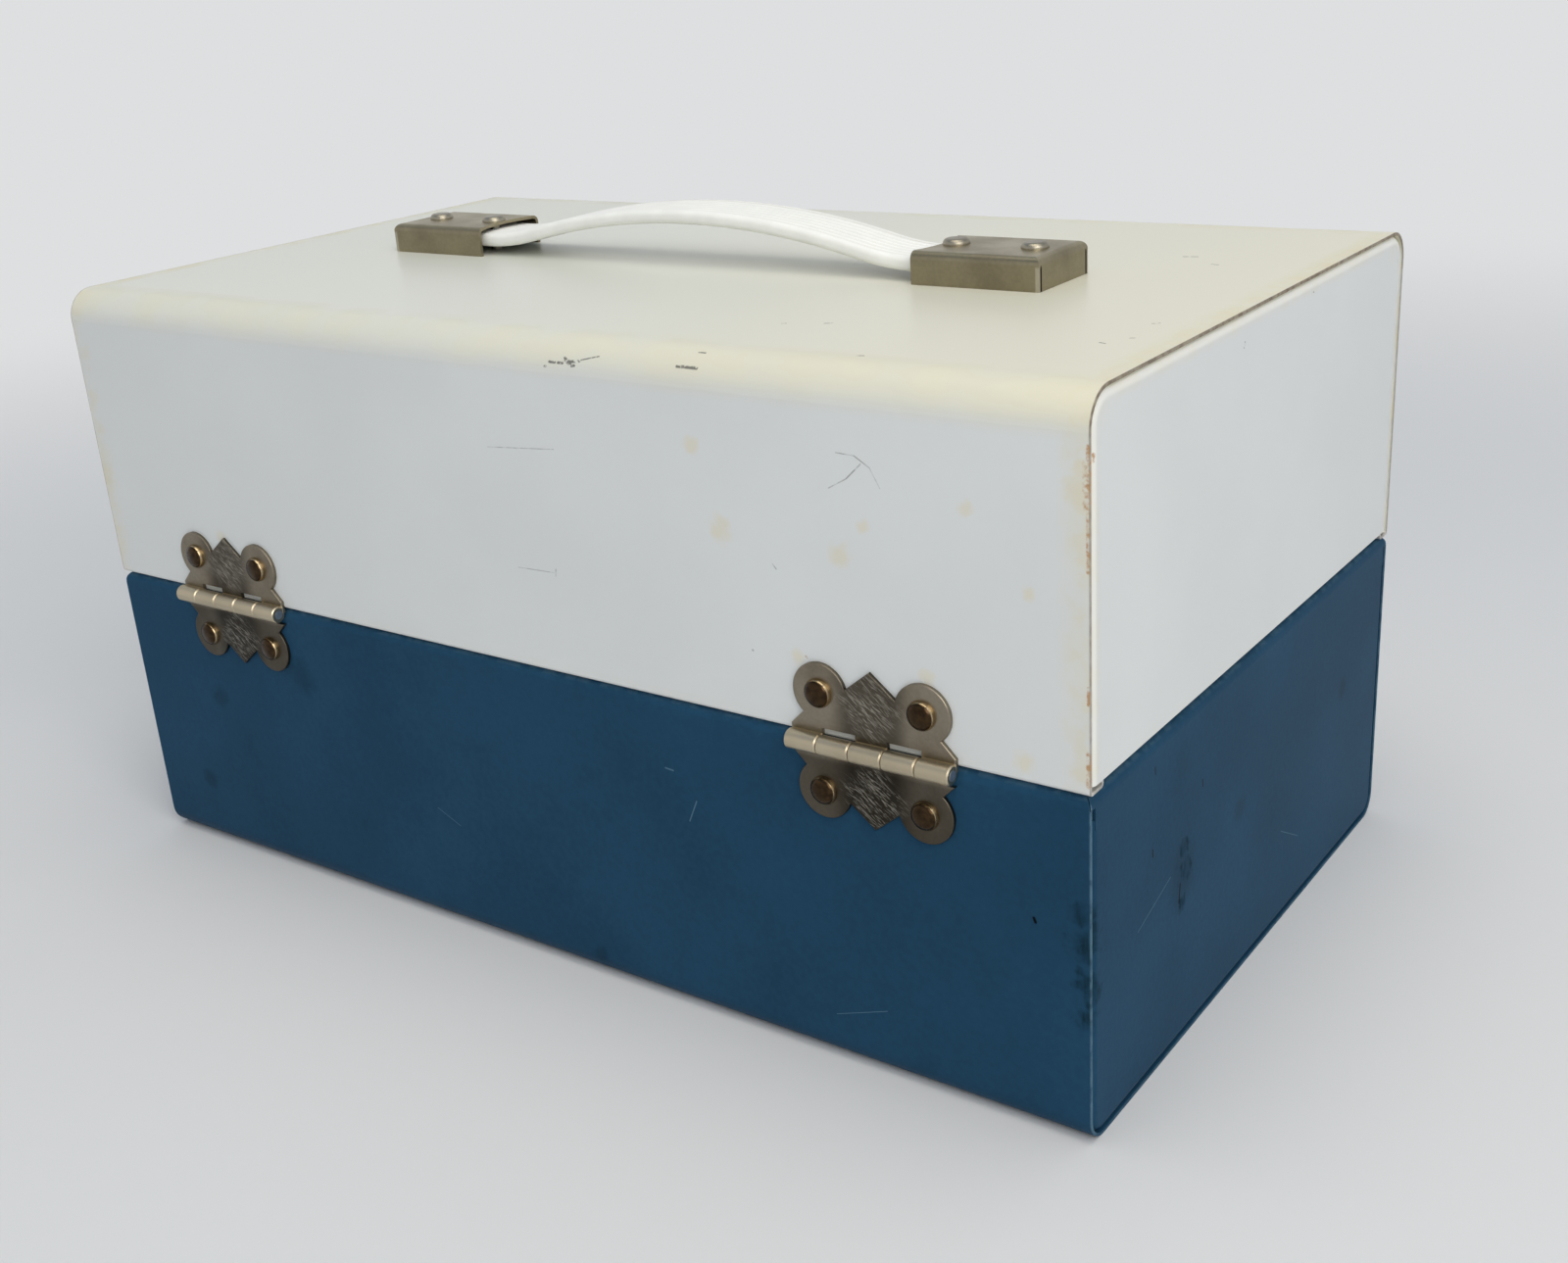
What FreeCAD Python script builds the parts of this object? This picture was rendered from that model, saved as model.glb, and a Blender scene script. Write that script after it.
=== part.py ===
import FreeCAD, Part
import math
import os
import re
import Sketcher
from FreeCAD import Vector

# A sheet-steel carrying case for a fleet guessing game. Millimetres, +Z up, the back with the
# hinges towards +Y, the latch towards -Y. The origin is the middle of the underside.

SIZES = (
    ("case_length", 355.6, "outside length, end to end"),
    ("case_width", 203.2, "outside width, front to back"),
    ("base_height", 94.9, "underside to the top of the base's rim"),
    ("seam_gap", 0.3, "between the base's rim and the lid"),
    ("lid_height", 93.6, "the lid's lower edge to its top"),
    ("sheet_gauge", 0.8, "thickness of the case's steel sheet"),
    ("lid_bend", 9.0, "outside radius along the lid's long top edges"),
    ("base_bend", 7.0, "outside radius along the base's long bottom edges"),
    ("shoulder_bend", 3.0, "outside radius of the base's rim"),
    ("rim_flange", 8.0, "width of the base's rim, turned inwards"),
    ("rim_hem", 3.0, "depth of the lip that is turned down from the rim"),
    ("lid_flange", 6.7, "width of the lid's hem, turned inwards"),
    ("lid_upturn", 1.6, "height of the hem's turned-up end"),
    ("fold_bend", 1.2, "outside radius of the tight folds"),
    ("pan_bend", 2.5, "outside radius round an end pan's face"),
    ("pan_depth", 10.0, "depth of an end pan's flanges"),
    ("weld_gap", 0.1, "between an end pan and the wrap it is welded into"),
    ("panel_raise", 1.8, "the lid's end pans stop this far above its lower edge"),
    ("relief_width", 1.6, "width of the relief slot at a base corner"),
    ("relief_height", 3.3, "height of the relief slot"),
    ("relief_margin", 0.3, "the relief slot's top below the rim's shoulder and lip"),
    ("mitre_gap", 0.3, "between the rims at a mitred corner"),
    ("hinge_spacing", 240.0, "between the middles of the two hinges"),
    ("hinge_width", 47.2, "length of a hinge's barrel"),
    ("leaf_gauge", 1.2, "thickness of the hinge and latch plates"),
    ("leaf_edge", 0.4, "radius round a hinge leaf's outer face"),
    ("knuckle_radius", 2.6, "outside radius of a barrel"),
    ("knuckle_edge", 0.35, "width of the bevel at a hinge knuckle's ends"),
    ("pin_radius", 1.35, "radius of the hinge and latch pins"),
    ("pin_clearance", 0.05, "radial clearance round a pin"),
    ("pin_drop", 1.2, "hinge axis below the lid's lower edge"),
    ("barrel_clearance", 0.1, "between a barrel and the wall behind it"),
    ("knuckle_gap", 0.15, "between neighbouring knuckles"),
    ("knuckle_window", 1.3, "opening beyond the other leaf's knuckles"),
    ("lobe_radius", 7.8, "radius of a leaf's rounded wings"),
    ("lobe_offset", 14.7, "a wing's middle from the hinge's middle"),
    ("lobe_rise", 13.2, "a wing's middle from the hinge axis"),
    ("peak_rise", 21.1, "a leaf's middle point from the axis"),
    ("valley_offset", 6.7, "valley beside the middle point, from the hinge's middle"),
    ("valley_rise", 15.7, "that valley from the axis"),
    ("notch_offset", 19.8, "notch under a wing, from the hinge's middle"),
    ("notch_rise", 7.3, "that notch from the axis"),
    ("rivet_radius", 1.6, "radius of the hinge and latch rivets' shanks"),
    ("rivet_clearance", 0.1, "between a rivet's shank and its hole"),
    ("hinge_head_radius", 3.9, "radius of a hinge rivet's head"),
    ("rivet_rise", 1.6, "height of a rivet's head"),
    ("tail_radius", 2.8, "radius of a rivet's clinched end"),
    ("tail_rise", 0.9, "height of a rivet's clinched end"),
    ("handle_span", 162.0, "between the mouths of the handle's caps"),
    ("cap_length", 39.0, "length of a handle cap"),
    ("cap_width", 28.0, "width of a handle cap"),
    ("cap_height", 9.0, "height of a handle cap"),
    ("cap_gauge", 1.0, "thickness of a handle cap's sheet"),
    ("cap_bend", 2.2, "outside radius of a cap's top edges"),
    ("cap_seam", 0.4, "width of the open seam at a cap's closed corners"),
    ("mouth_hollow", 2.4, "depth of the hollow in a cap's edge at its mouth"),
    ("handle_rivet_radius", 1.8, "radius of a handle rivet's shank"),
    ("handle_head_radius", 3.8, "radius of a handle rivet's head"),
    ("front_rivet_inset", 6.4, "first handle rivet from the cap's mouth"),
    ("rear_rivet_inset", 30.5, "second handle rivet from the cap's mouth"),
    ("strap_width", 22.0, "width of the handle's strap"),
    ("strap_gauge", 4.2, "thickness of the strap"),
    ("strap_lift", 2.6, "underside of the strap's ends above the lid"),
    ("strap_arch", 10.0, "rise of the strap from its ends to its crown"),
    ("mouth_sweep", 80.0, "radius of the strap's underside next to a cap"),
    ("strap_tail", 34.0, "length of strap inside a cap"),
    ("slot_clearance", 0.3, "between a handle rivet and the strap's slot"),
    ("strap_travel", 5.0, "how far a strap end can slide on its rivets"),
    ("link_gap", 0.1, "between the strap's neighbouring lengths"),
    ("strap_round", 1.2, "radius of the strap's long edges"),
    ("latch_drop", 11.6, "latch axis below the top of the base's rim"),
    ("latch_width", 40.0, "width of the latch's bracket and catch"),
    ("latch_round", 3.2, "corner radius of the bracket and catch"),
    ("bracket_height", 13.0, "the bracket's lower edge from the latch axis"),
    ("bracket_rivet_drop", 8.0, "the bracket's rivets below the latch axis"),
    ("latch_rivet_offset", 15.0, "the latch's rivets from its middle"),
    ("latch_head_radius", 2.8, "radius of a latch rivet's head"),
    ("latch_barrel", 33.0, "length of the latch's barrel"),
    ("hasp_width", 20.0, "width of the hasp"),
    ("hasp_length", 25.0, "the hasp's free end from the latch axis"),
    ("hasp_reach", 20.4, "the inner face of the hasp's hook from the latch axis"),
    ("hook_clearance", 0.2, "between the hook and the catch's ledge"),
    ("hook_depth", 1.6, "how far the hook stands out of the hasp"),
    ("hook_gauge", 1.2, "thickness of the hook"),
    ("catch_height", 7.0, "height of the catch plate"),
    ("ledge_depth", 0.7, "how far the ledge stands out of the catch plate"),
    ("ledge_height", 2.0, "height of the ledge"),
    ("board_depth", 18.0, "a board's playing face from the case's outside"),
    ("board_gauge", 3.0, "thickness of a peg board"),
    ("board_clearance", 3.8, "between a board's edge and the rim it passes through"),
    ("board_round", 6.0, "corner radius of a board"),
    ("grid_pitch", 14.0, "distance from one hole to the next"),
    ("grid_offset", 84.0, "middle of a grid from the middle of its board"),
    ("hole_radius", 2.0, "radius of the boards' and ships' holes"),
    ("rail_length", 150.0, "length of a board rail"),
    ("rail_shelf", 18.0, "width of a rail's shelf"),
    ("rail_leg", 10.0, "height of a rail's welded leg"),
    ("rail_gauge", 1.2, "thickness of a rail"),
    ("screw_inset", 4.0, "board screws from the board's end"),
    ("screw_spread", 60.0, "board screws from the case's middle line"),
    ("screw_radius", 1.5, "radius of a board screw"),
    ("screw_head_radius", 3.0, "radius of a board screw's head"),
    ("screw_head_rise", 1.6, "height of a board screw's head"),
    ("screw_clearance", 0.15, "between a screw and its hole"),
    ("screw_tail", 2.5, "length of screw beyond its rail"),
    ("tray_length", 129.6, "outside length of the peg tray"),
    ("tray_width", 27.6, "outside width of the peg tray"),
    ("tray_depth", 13.0, "the tray's underside below the board's playing face"),
    ("tray_wall", 1.2, "thickness of the tray's walls"),
    ("tray_rim", 2.4, "width of the tray's rim"),
    ("tray_clearance", 0.2, "between the tray and the board's opening"),
    ("peg_radius", 1.7, "radius of a peg's shank and of a ship's pins"),
    ("peg_shank", 8.0, "length of a peg's shank"),
    ("peg_head_radius", 2.6, "radius of a peg's head"),
    ("peg_head", 4.0, "length of a peg's head"),
    ("peg_gap", 0.3, "between neighbouring pegs, and between pegs and the tray"),
    ("seat_gap", 0.05, "under a peg that lies in the tray"),
    ("ship_beam", 9.0, "width of a ship"),
    ("ship_gap", 4.0, "a ship is this much shorter than its cells"),
    ("ship_stern", 2.0, "length of the cut corners at a ship's stern"),
    ("ship_bow", 9.0, "length of a ship's pointed bow"),
    ("hull_height", 5.0, "height of a ship's hull"),
    ("deck_hole_depth", 4.0, "depth of the holes in a ship's deck"),
    ("house_length", 7.0, "length of a ship's deckhouse"),
    ("house_width", 5.0, "width of a ship's deckhouse"),
    ("low_house", 2.0, "height of a low deckhouse"),
    ("middle_house", 4.0, "height of a middling deckhouse"),
    ("high_house", 7.0, "height of a high deckhouse"),
)

# Five kinds of ship: name, length in cells, and the deckhouses between its holes.
FLEET = (
    ("carrier", 5, ("low_house", "high_house", "low_house", "low_house")),
    ("battleship", 4, ("middle_house", "high_house", "middle_house")),
    ("cruiser", 3, ("high_house", "middle_house")),
    ("submarine", 3, ("low_house", "middle_house")),
    ("patrol_boat", 2, ("middle_house",)),
)
# Where each kind is plugged in: row and first column, counted from a grid's lower left hole.
BERTHS = {
    "first": ((0, 1), (2, 4), (4, 2), (6, 6), (8, 3)),
    "second": ((1, 3), (3, 1), (5, 5), (7, 2), (9, 6)),
}
GRID_CELLS = 10
PEGS_IN_ROW = 10
KNUCKLES = 5
SIDES = (("left", -1), ("right", 1))

doc = FreeCAD.newDocument("fleet_guessing_case")
dim = doc.addObject("Spreadsheet::Sheet", "dim")
for row, (alias, value, meaning) in enumerate(SIZES, start=1):
    dim.set(f"A{row}", alias)
    dim.set(f"B{row}", str(value))
    dim.set(f"C{row}", meaning)
    dim.setAlias(f"B{row}", alias)
doc.recompute()

ALIASES = {alias for alias, value, meaning in SIZES}
pieces = []

# Formulas that several pieces share, in the sheet's names.
HALF_LENGTH = "case_length / 2"
HALF_WIDTH = "case_width / 2"
LID_BOTTOM = "(base_height + seam_gap)"
LID_TOP = f"({LID_BOTTOM} + lid_height)"
INNER_HALF_WIDTH = f"({HALF_WIDTH} - sheet_gauge - weld_gap)"
RELIEF_TOP = "(base_height - max(rim_hem; shoulder_bend) - relief_margin)"
RELIEF_BOTTOM = f"({RELIEF_TOP} - relief_height)"
HINGE_Z = f"({LID_BOTTOM} - pin_drop)"
HINGE_Y = f"({HALF_WIDTH} + knuckle_radius + barrel_clearance)"
BORE = "(pin_radius + pin_clearance)"
LATCH_Z = "(base_height - latch_drop)"
LATCH_Y = f"(-{HINGE_Y})"
CATCH_TOP = f"({LATCH_Z} + hasp_reach - hook_clearance)"
RIVET_HOLE = "(rivet_radius + rivet_clearance)"
HANDLE_HOLE = "(handle_rivet_radius + rivet_clearance)"
BOARD_HALF_LENGTH = f"({HALF_LENGTH} - rim_flange - board_clearance)"
BOARD_HALF_WIDTH = f"({HALF_WIDTH} - rim_flange - board_clearance)"
SCREW_X = f"({BOARD_HALF_LENGTH} - screw_inset)"
SCREW_HOLE = "(screw_radius + screw_clearance)"
TRAY_HALF_WIDTH = "tray_width / 2"
TRAY_HALF_LENGTH = "tray_length / 2"
MARGIN = "sheet_gauge"


def tie(formula):
    """The formula as an expression, with every size's name pointed at the sheet."""
    return re.sub(r"[a-z_]+", lambda word: f"dim.{word[0]}" if word[0] in ALIASES else word[0], formula)


def size(formula):
    """The formula's value."""
    result = dim.evalExpression(tie(formula))
    return float(getattr(result, "Value", result))


def new_body(label):
    body = doc.addObject("PartDesign::Body", label)
    body.Label = label
    pieces.append(body)
    return body


def place(body, along, value):
    """Move a body along one axis."""
    body.setExpression(f"Placement.Base.{along}", tie(value))


def arc_between(start, end, radius):
    """The shorter arc from start to end. A positive radius turns anticlockwise."""
    chord = end - start
    reach = math.sqrt(radius * radius - chord.Length * chord.Length / 4)
    across = Vector(-chord.y, chord.x, 0).normalize()
    middle = start + chord / 2 + across * math.copysign(reach, radius)
    angles = [math.atan2(point.y - middle.y, point.x - middle.x) for point in (start, end)]
    if radius < 0:
        angles.reverse()
    if angles[1] < angles[0]:
        angles[1] += 2 * math.pi
    return Part.ArcOfCircle(Part.Circle(middle, Vector(0, 0, 1), abs(radius)), *angles)


def add_outline(sketch, points):
    """A closed outline. A point is (across, up), or (across, up, radius) where an arc leaves it."""
    first = sketch.GeometryCount
    count = len(points)
    corners = [Vector(size(point[0]), size(point[1]), 0) for point in points]
    ends = []
    for index, point in enumerate(points):
        start, end = corners[index], corners[(index + 1) % count]
        if len(point) == 2:
            sketch.addGeometry(Part.LineSegment(start, end), False)
            ends.append((1, 2))
        else:
            radius = size(point[2])
            sketch.addGeometry(arc_between(start, end, radius), False)
            ends.append((1, 2) if radius > 0 else (2, 1))
    for index in range(count):
        following = (index + 1) % count
        sketch.addConstraint(Sketcher.Constraint(
            "Coincident", first + index, ends[index][1], first + following, ends[following][0]))
    for index, point in enumerate(points):
        for kind, value, formula in (("DistanceX", corners[index].x, point[0]),
                                     ("DistanceY", corners[index].y, point[1])):
            number = sketch.addConstraint(Sketcher.Constraint(
                kind, -1, 1, first + index, ends[index][0], value))
            sketch.setExpression(f"Constraints[{number}]", tie(formula))
        if len(point) == 3:
            number = sketch.addConstraint(Sketcher.Constraint("Radius", first + index, abs(size(point[2]))))
            sketch.setExpression(f"Constraints[{number}]", tie(f"abs({point[2]})"))


def add_circle(sketch, across, up, radius):
    middle = Vector(size(across), size(up), 0)
    circle = sketch.addGeometry(Part.Circle(middle, Vector(0, 0, 1), size(radius)), False)
    for kind, value, formula in (("DistanceX", middle.x, across), ("DistanceY", middle.y, up)):
        number = sketch.addConstraint(Sketcher.Constraint(kind, -1, 1, circle, 3, value))
        sketch.setExpression(f"Constraints[{number}]", tie(formula))
    number = sketch.addConstraint(Sketcher.Constraint("Radius", circle, size(radius)))
    sketch.setExpression(f"Constraints[{number}]", tie(radius))


def draw(body, name, plane, start, outlines=(), circles=()):
    """A sketch on an origin plane, moved by start along its normal: +Z on XY, -Y on XZ, +X on YZ."""
    sketch = body.newObject("Sketcher::SketchObject", f"{name}_sketch")
    support = next(item for item in body.Origin.OriginFeatures if item.Role == f"{plane}_Plane")
    sketch.AttachmentSupport = (support, [""])
    sketch.MapMode = "FlatFace"
    sketch.setExpression("AttachmentOffset.Base.z", tie(start))
    for outline in outlines:
        add_outline(sketch, outline)
    for circle in circles:
        add_circle(sketch, *circle)
    return sketch


def pad(body, name, plane, start, length, outlines=(), circles=()):
    """Material from start, for a length along the plane's normal."""
    sketch = draw(body, name, plane, start, outlines, circles)
    feature = body.newObject("PartDesign::Pad", name)
    feature.Profile = sketch
    feature.setExpression("Length", tie(length))
    doc.recompute()
    return feature


def pocket(body, name, plane, start, length, outlines=(), circles=()):
    """A cut from start, for a length along the plane's normal."""
    solid = body.Shape.Volume
    sketch = draw(body, name, plane, start, outlines, circles)
    feature = body.newObject("PartDesign::Pocket", name)
    feature.Profile = sketch
    feature.Reversed = True
    feature.setExpression("Length", tie(length))
    doc.recompute()
    if body.Shape.Volume >= solid:
        raise RuntimeError(f"{body.Label}: {name} cuts nothing")
    return feature


def edges_where(shape, test):
    return [f"Edge{number}" for number, edge in enumerate(shape.Edges, start=1) if test(edge)]


def runs_along(edge, axis):
    """Whether a straight edge runs along an axis."""
    if not isinstance(edge.Curve, Part.Line):
        return False
    return abs(abs(edge.Curve.Direction[axis]) - 1) < 1e-6


def lies_at(edge, axis, value):
    """Whether an edge lies in the plane where an axis has a value."""
    box = edge.BoundBox
    low, high = ((box.XMin, box.XMax), (box.YMin, box.YMax), (box.ZMin, box.ZMax))[axis]
    return abs(low - value) < 1e-4 and abs(high - value) < 1e-4


def fillet(body, name, radius, test):
    """Round the edges that pass the test."""
    base = body.Tip
    feature = body.newObject("PartDesign::Fillet", name)
    feature.Base = (base, edges_where(base.Shape, test))
    feature.setExpression("Radius", tie(radius))
    doc.recompute()
    return feature


def fillet_lines(body, name, radius, axis, places):
    """Round the straight edges along an axis that pass through places, given as the other two axes."""
    spots = [(size(first), size(second)) for first, second in places]
    others = [index for index in range(3) if index != axis]

    def test(edge):
        if not runs_along(edge, axis):
            return False
        return any(lies_at(edge, others[0], spot[0]) and lies_at(edge, others[1], spot[1]) for spot in spots)

    return fillet(body, name, radius, test)


def hollow(body, name, gauge, open_faces):
    """Hollow a solid out to a wall, leaving the faces open that lie in the given planes."""
    base = body.Tip
    planes = [(axis, size(value)) for axis, value in open_faces]
    faces = []
    for number, face in enumerate(base.Shape.Faces, start=1):
        if any(lies_at(face, axis, value) for axis, value in planes):
            faces.append(f"Face{number}")
    feature = body.newObject("PartDesign::Thickness", name)
    feature.Base = (base, faces)
    feature.Reversed = True
    feature.setExpression("Value", tie(gauge))
    doc.recompute()
    return feature


def box_outline(left, right, low, high):
    return ((left, low), (right, low), (right, high), (left, high))


def both_signs(*formulas):
    """The formulas once with the first turned negative and once as they are."""
    return [(f"-({formulas[0]})",) + formulas[1:], formulas]


def hinge_rivet_places(sign):
    """Where the rivets of both hinges stand on the back wall: above the axis for +1, below for -1."""
    places = []
    for hinge in (-1, 1):
        for wing in (-1, 1):
            across = f"({hinge} * hinge_spacing / 2 + {wing} * lobe_offset)"
            places.append((across, f"({HINGE_Z} + {sign} * lobe_rise)"))
    return places


def latch_rivet_places(height):
    return [(f"({sign} * latch_rivet_offset)", height) for sign in (-1, 1)]


def handle_rivet_places():
    places = []
    for label, sign in SIDES:
        for inset in ("front_rivet_inset", "rear_rivet_inset"):
            places.append((f"({sign} * (handle_span / 2 + {inset}))", "0"))
    return places


def screw_places():
    return [(f"({end} * {SCREW_X})", f"({side} * screw_spread)") for end in (-1, 1) for side in (-1, 1)]


def holes(places, radius):
    return [(across, up, radius) for across, up in places]


def wall_holes(body, name, back, places, radius):
    """Holes through the back or the front wall."""
    start = f"-({HALF_WIDTH} + {MARGIN})" if back else f"{HALF_WIDTH} - 2 * sheet_gauge"
    pocket(body, name, "XZ", start, "3 * sheet_gauge", circles=holes(places, radius))


def rim_profile(edge, outer_low):
    """The rim's section, from the outside at edge inwards: wall, shoulder, flange and turned-down lip."""
    inner = f"({edge} - rim_flange)"
    return [
        (edge, outer_low), (edge, "base_height"), (inner, "base_height"),
        (inner, "base_height - rim_hem"), (f"{inner} + sheet_gauge", "base_height - rim_hem"),
        (f"{inner} + sheet_gauge", "base_height - sheet_gauge"),
        (f"{edge} - sheet_gauge", "base_height - sheet_gauge"),
    ]


def mirrored(points):
    """The points with their first coordinate turned over, in the opposite order."""
    return [(f"-({across})", up) for across, up in reversed(points)]


def round_rim(body, axis, edge):
    """Round the rim's shoulder and its lip, inside and out, along an axis."""
    for name, radius, inset in (("shoulder", "shoulder_bend", "0"), ("lip", "fold_bend", "rim_flange")):
        fillet_lines(body, name, radius, axis, both_signs(f"{edge} - ({inset})", "base_height"))
    for name, radius, inset in (("shoulder_inside", "shoulder_bend", "sheet_gauge"),
                                ("lip_inside", "fold_bend", "rim_flange - sheet_gauge")):
        fillet_lines(body, name, f"{radius} - sheet_gauge", axis,
                     both_signs(f"{edge} - ({inset})", "base_height - sheet_gauge"))


def base_wrap():
    body = new_body("base_wrap")
    right = rim_profile(HALF_WIDTH, "0") + [(f"{HALF_WIDTH} - sheet_gauge", "sheet_gauge")]
    pad(body, "channel", "YZ", f"-{HALF_LENGTH}", "case_length", [right + mirrored(right)])
    fillet_lines(body, "bottom", "base_bend", 0, both_signs(HALF_WIDTH, "0"))
    fillet_lines(body, "bottom_inside", "base_bend - sheet_gauge", 0,
                 both_signs(f"{HALF_WIDTH} - sheet_gauge", "sheet_gauge"))
    round_rim(body, 0, HALF_WIDTH)
    corners = []
    for end in (-1, 1):
        for side in (-1, 1):
            outer = f"({HALF_LENGTH} + {MARGIN})"
            depth = "(rim_flange + relief_width)"
            corners.append([(f"{end} * ({along})", f"{side} * ({across})") for along, across in (
                (f"{outer} - mitre_gap / 2", f"{HALF_WIDTH} + {MARGIN}"),
                (f"{HALF_LENGTH} - {depth} - mitre_gap / 2", f"{HALF_WIDTH} - {depth}"),
                (outer, f"{HALF_WIDTH} - {depth}"))])
    pocket(body, "mitres", "XY", RELIEF_TOP, f"base_height - {RELIEF_TOP} + sheet_gauge", corners)
    wall_holes(body, "hinge_holes", True, hinge_rivet_places(-1), RIVET_HOLE)
    bracket_rivets = latch_rivet_places(f"({LATCH_Z} - bracket_rivet_drop)")
    wall_holes(body, "latch_holes", False, bracket_rivets, RIVET_HOLE)


def lid_wrap():
    body = new_body("lid_wrap")
    inner = f"({HALF_WIDTH} - lid_flange)"
    right = [
        (f"{HALF_WIDTH} - sheet_gauge", f"{LID_TOP} - sheet_gauge"),
        (f"{HALF_WIDTH} - sheet_gauge", f"{LID_BOTTOM} + sheet_gauge"),
        (f"{inner} + sheet_gauge", f"{LID_BOTTOM} + sheet_gauge"),
        (f"{inner} + sheet_gauge", f"{LID_BOTTOM} + lid_upturn"),
        (inner, f"{LID_BOTTOM} + lid_upturn"), (inner, LID_BOTTOM),
        (HALF_WIDTH, LID_BOTTOM), (HALF_WIDTH, LID_TOP),
    ]
    pad(body, "channel", "YZ", f"-{HALF_LENGTH}", "case_length", [right + mirrored(right)])
    for name, radius, across, up in (
            ("top", "lid_bend", HALF_WIDTH, LID_TOP),
            ("top_inside", "lid_bend - sheet_gauge", f"{HALF_WIDTH} - sheet_gauge",
             f"{LID_TOP} - sheet_gauge"),
            ("hem", "fold_bend", HALF_WIDTH, LID_BOTTOM),
            ("hem_inside", "fold_bend - sheet_gauge", f"{HALF_WIDTH} - sheet_gauge",
             f"{LID_BOTTOM} + sheet_gauge"),
            ("hem_end", "fold_bend", inner, LID_BOTTOM)):
        fillet_lines(body, name, radius, 0, both_signs(across, up))
    wall_holes(body, "hinge_holes", True, hinge_rivet_places(1), RIVET_HOLE)
    catch_rivets = latch_rivet_places(f"({CATCH_TOP} - catch_height / 2)")
    wall_holes(body, "latch_holes", False, catch_rivets, RIVET_HOLE)
    pocket(body, "handle_holes", "XY", f"{LID_TOP} - 2 * sheet_gauge", "3 * sheet_gauge",
           circles=holes(handle_rivet_places(), HANDLE_HOLE))


def round_pan_face(body, sign, axis_edges):
    """Round an end pan's face, on every edge but those that lie in the given planes."""
    face = sign * size(HALF_LENGTH)
    kept = [(axis, size(value)) for axis, value in axis_edges]

    def test(edge):
        return lies_at(edge, 0, face) and not any(lies_at(edge, axis, value) for axis, value in kept)

    fillet(body, "face_bend", "pan_bend", test)


def pan_block(body, sign, low, high):
    """The solid that an end pan is hollowed out of."""
    start = f"{HALF_LENGTH} - pan_depth" if sign > 0 else f"-{HALF_LENGTH}"
    outline = box_outline(f"-{INNER_HALF_WIDTH}", INNER_HALF_WIDTH, low, high)
    pad(body, "block", "YZ", start, "pan_depth", [outline])


def lid_end(label, sign):
    body = new_body(f"lid_end_{label}")
    low = f"({LID_BOTTOM} + panel_raise)"
    high = f"({LID_TOP} - sheet_gauge - weld_gap)"
    pan_block(body, sign, low, high)
    fillet_lines(body, "corners", "lid_bend - sheet_gauge - weld_gap", 0, both_signs(INNER_HALF_WIDTH, high))
    round_pan_face(body, sign, [(2, low)])
    hollow(body, "pan", "sheet_gauge", [(0, f"{sign} * ({HALF_LENGTH} - pan_depth)"), (2, low)])


def base_end(label, sign):
    body = new_body(f"base_end_{label}")
    low = "(sheet_gauge + weld_gap)"
    pan_block(body, sign, low, RELIEF_BOTTOM)
    fillet_lines(body, "corners", "base_bend - sheet_gauge - weld_gap", 0, both_signs(INNER_HALF_WIDTH, low))
    round_pan_face(body, sign, [(2, RELIEF_BOTTOM)])
    hollow(body, "pan", "sheet_gauge", [(0, f"{sign} * ({HALF_LENGTH} - pan_depth)"), (2, RELIEF_BOTTOM)])
    neck = f"({INNER_HALF_WIDTH} - relief_width)"
    start = f"{HALF_LENGTH} - sheet_gauge" if sign > 0 else f"-{HALF_LENGTH}"
    pad(body, "neck", "YZ", start, "sheet_gauge",
        [box_outline(f"-{neck}", neck, f"{RELIEF_BOTTOM} - pan_bend", f"{RELIEF_TOP} + sheet_gauge")])
    section = rim_profile(HALF_LENGTH, RELIEF_TOP) + [(f"{HALF_LENGTH} - sheet_gauge", RELIEF_TOP)]
    section = [(f"{sign} * ({along})", up) for along, up in section]
    pad(body, "rim", "XZ", f"-{HALF_WIDTH}", "case_width", [section])
    round_rim(body, 1, HALF_LENGTH)
    cuts = []
    for side in (-1, 1):
        depth = "(rim_flange + relief_width)"
        cuts.append([(f"{sign} * ({along})", f"{side} * ({across})") for along, across in (
            (f"{HALF_LENGTH} + {MARGIN}", f"{HALF_WIDTH} + {MARGIN} - mitre_gap / 2"),
            (f"{HALF_LENGTH} - {depth}", f"{HALF_WIDTH} - {depth} - mitre_gap / 2"),
            (f"{HALF_LENGTH} - {depth}", f"{HALF_WIDTH} + {MARGIN}"))])
    pocket(body, "mitres", "XY", RELIEF_TOP, f"base_height - {RELIEF_TOP} + sheet_gauge", cuts)


def knuckle_start(number):
    """The lower end of a hinge's knuckle, counted from its left."""
    return f"(-hinge_width / 2 + {number} * hinge_width / {KNUCKLES})"


def bevelled_knuckle(body, number):
    """One knuckle with bevelled ends, turned about the hinge axis. The outline's first side is that axis."""
    left = f"({knuckle_start(number)} + knuckle_gap / 2)"
    right = f"({knuckle_start(number + 1)} - knuckle_gap / 2)"
    rim = f"({HINGE_Y} + knuckle_radius)"
    sketch = draw(body, f"knuckle_{number}", "XY", HINGE_Z, [[
        (left, HINGE_Y), (right, HINGE_Y), (right, f"{rim} - knuckle_edge"),
        (f"{right} - knuckle_edge", rim), (f"{left} + knuckle_edge", rim), (left, f"{rim} - knuckle_edge")]])
    feature = body.newObject("PartDesign::Revolution", f"knuckle_{number}")
    feature.Profile = sketch
    feature.ReferenceAxis = (sketch, ["Edge1"])
    doc.recompute()


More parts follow.
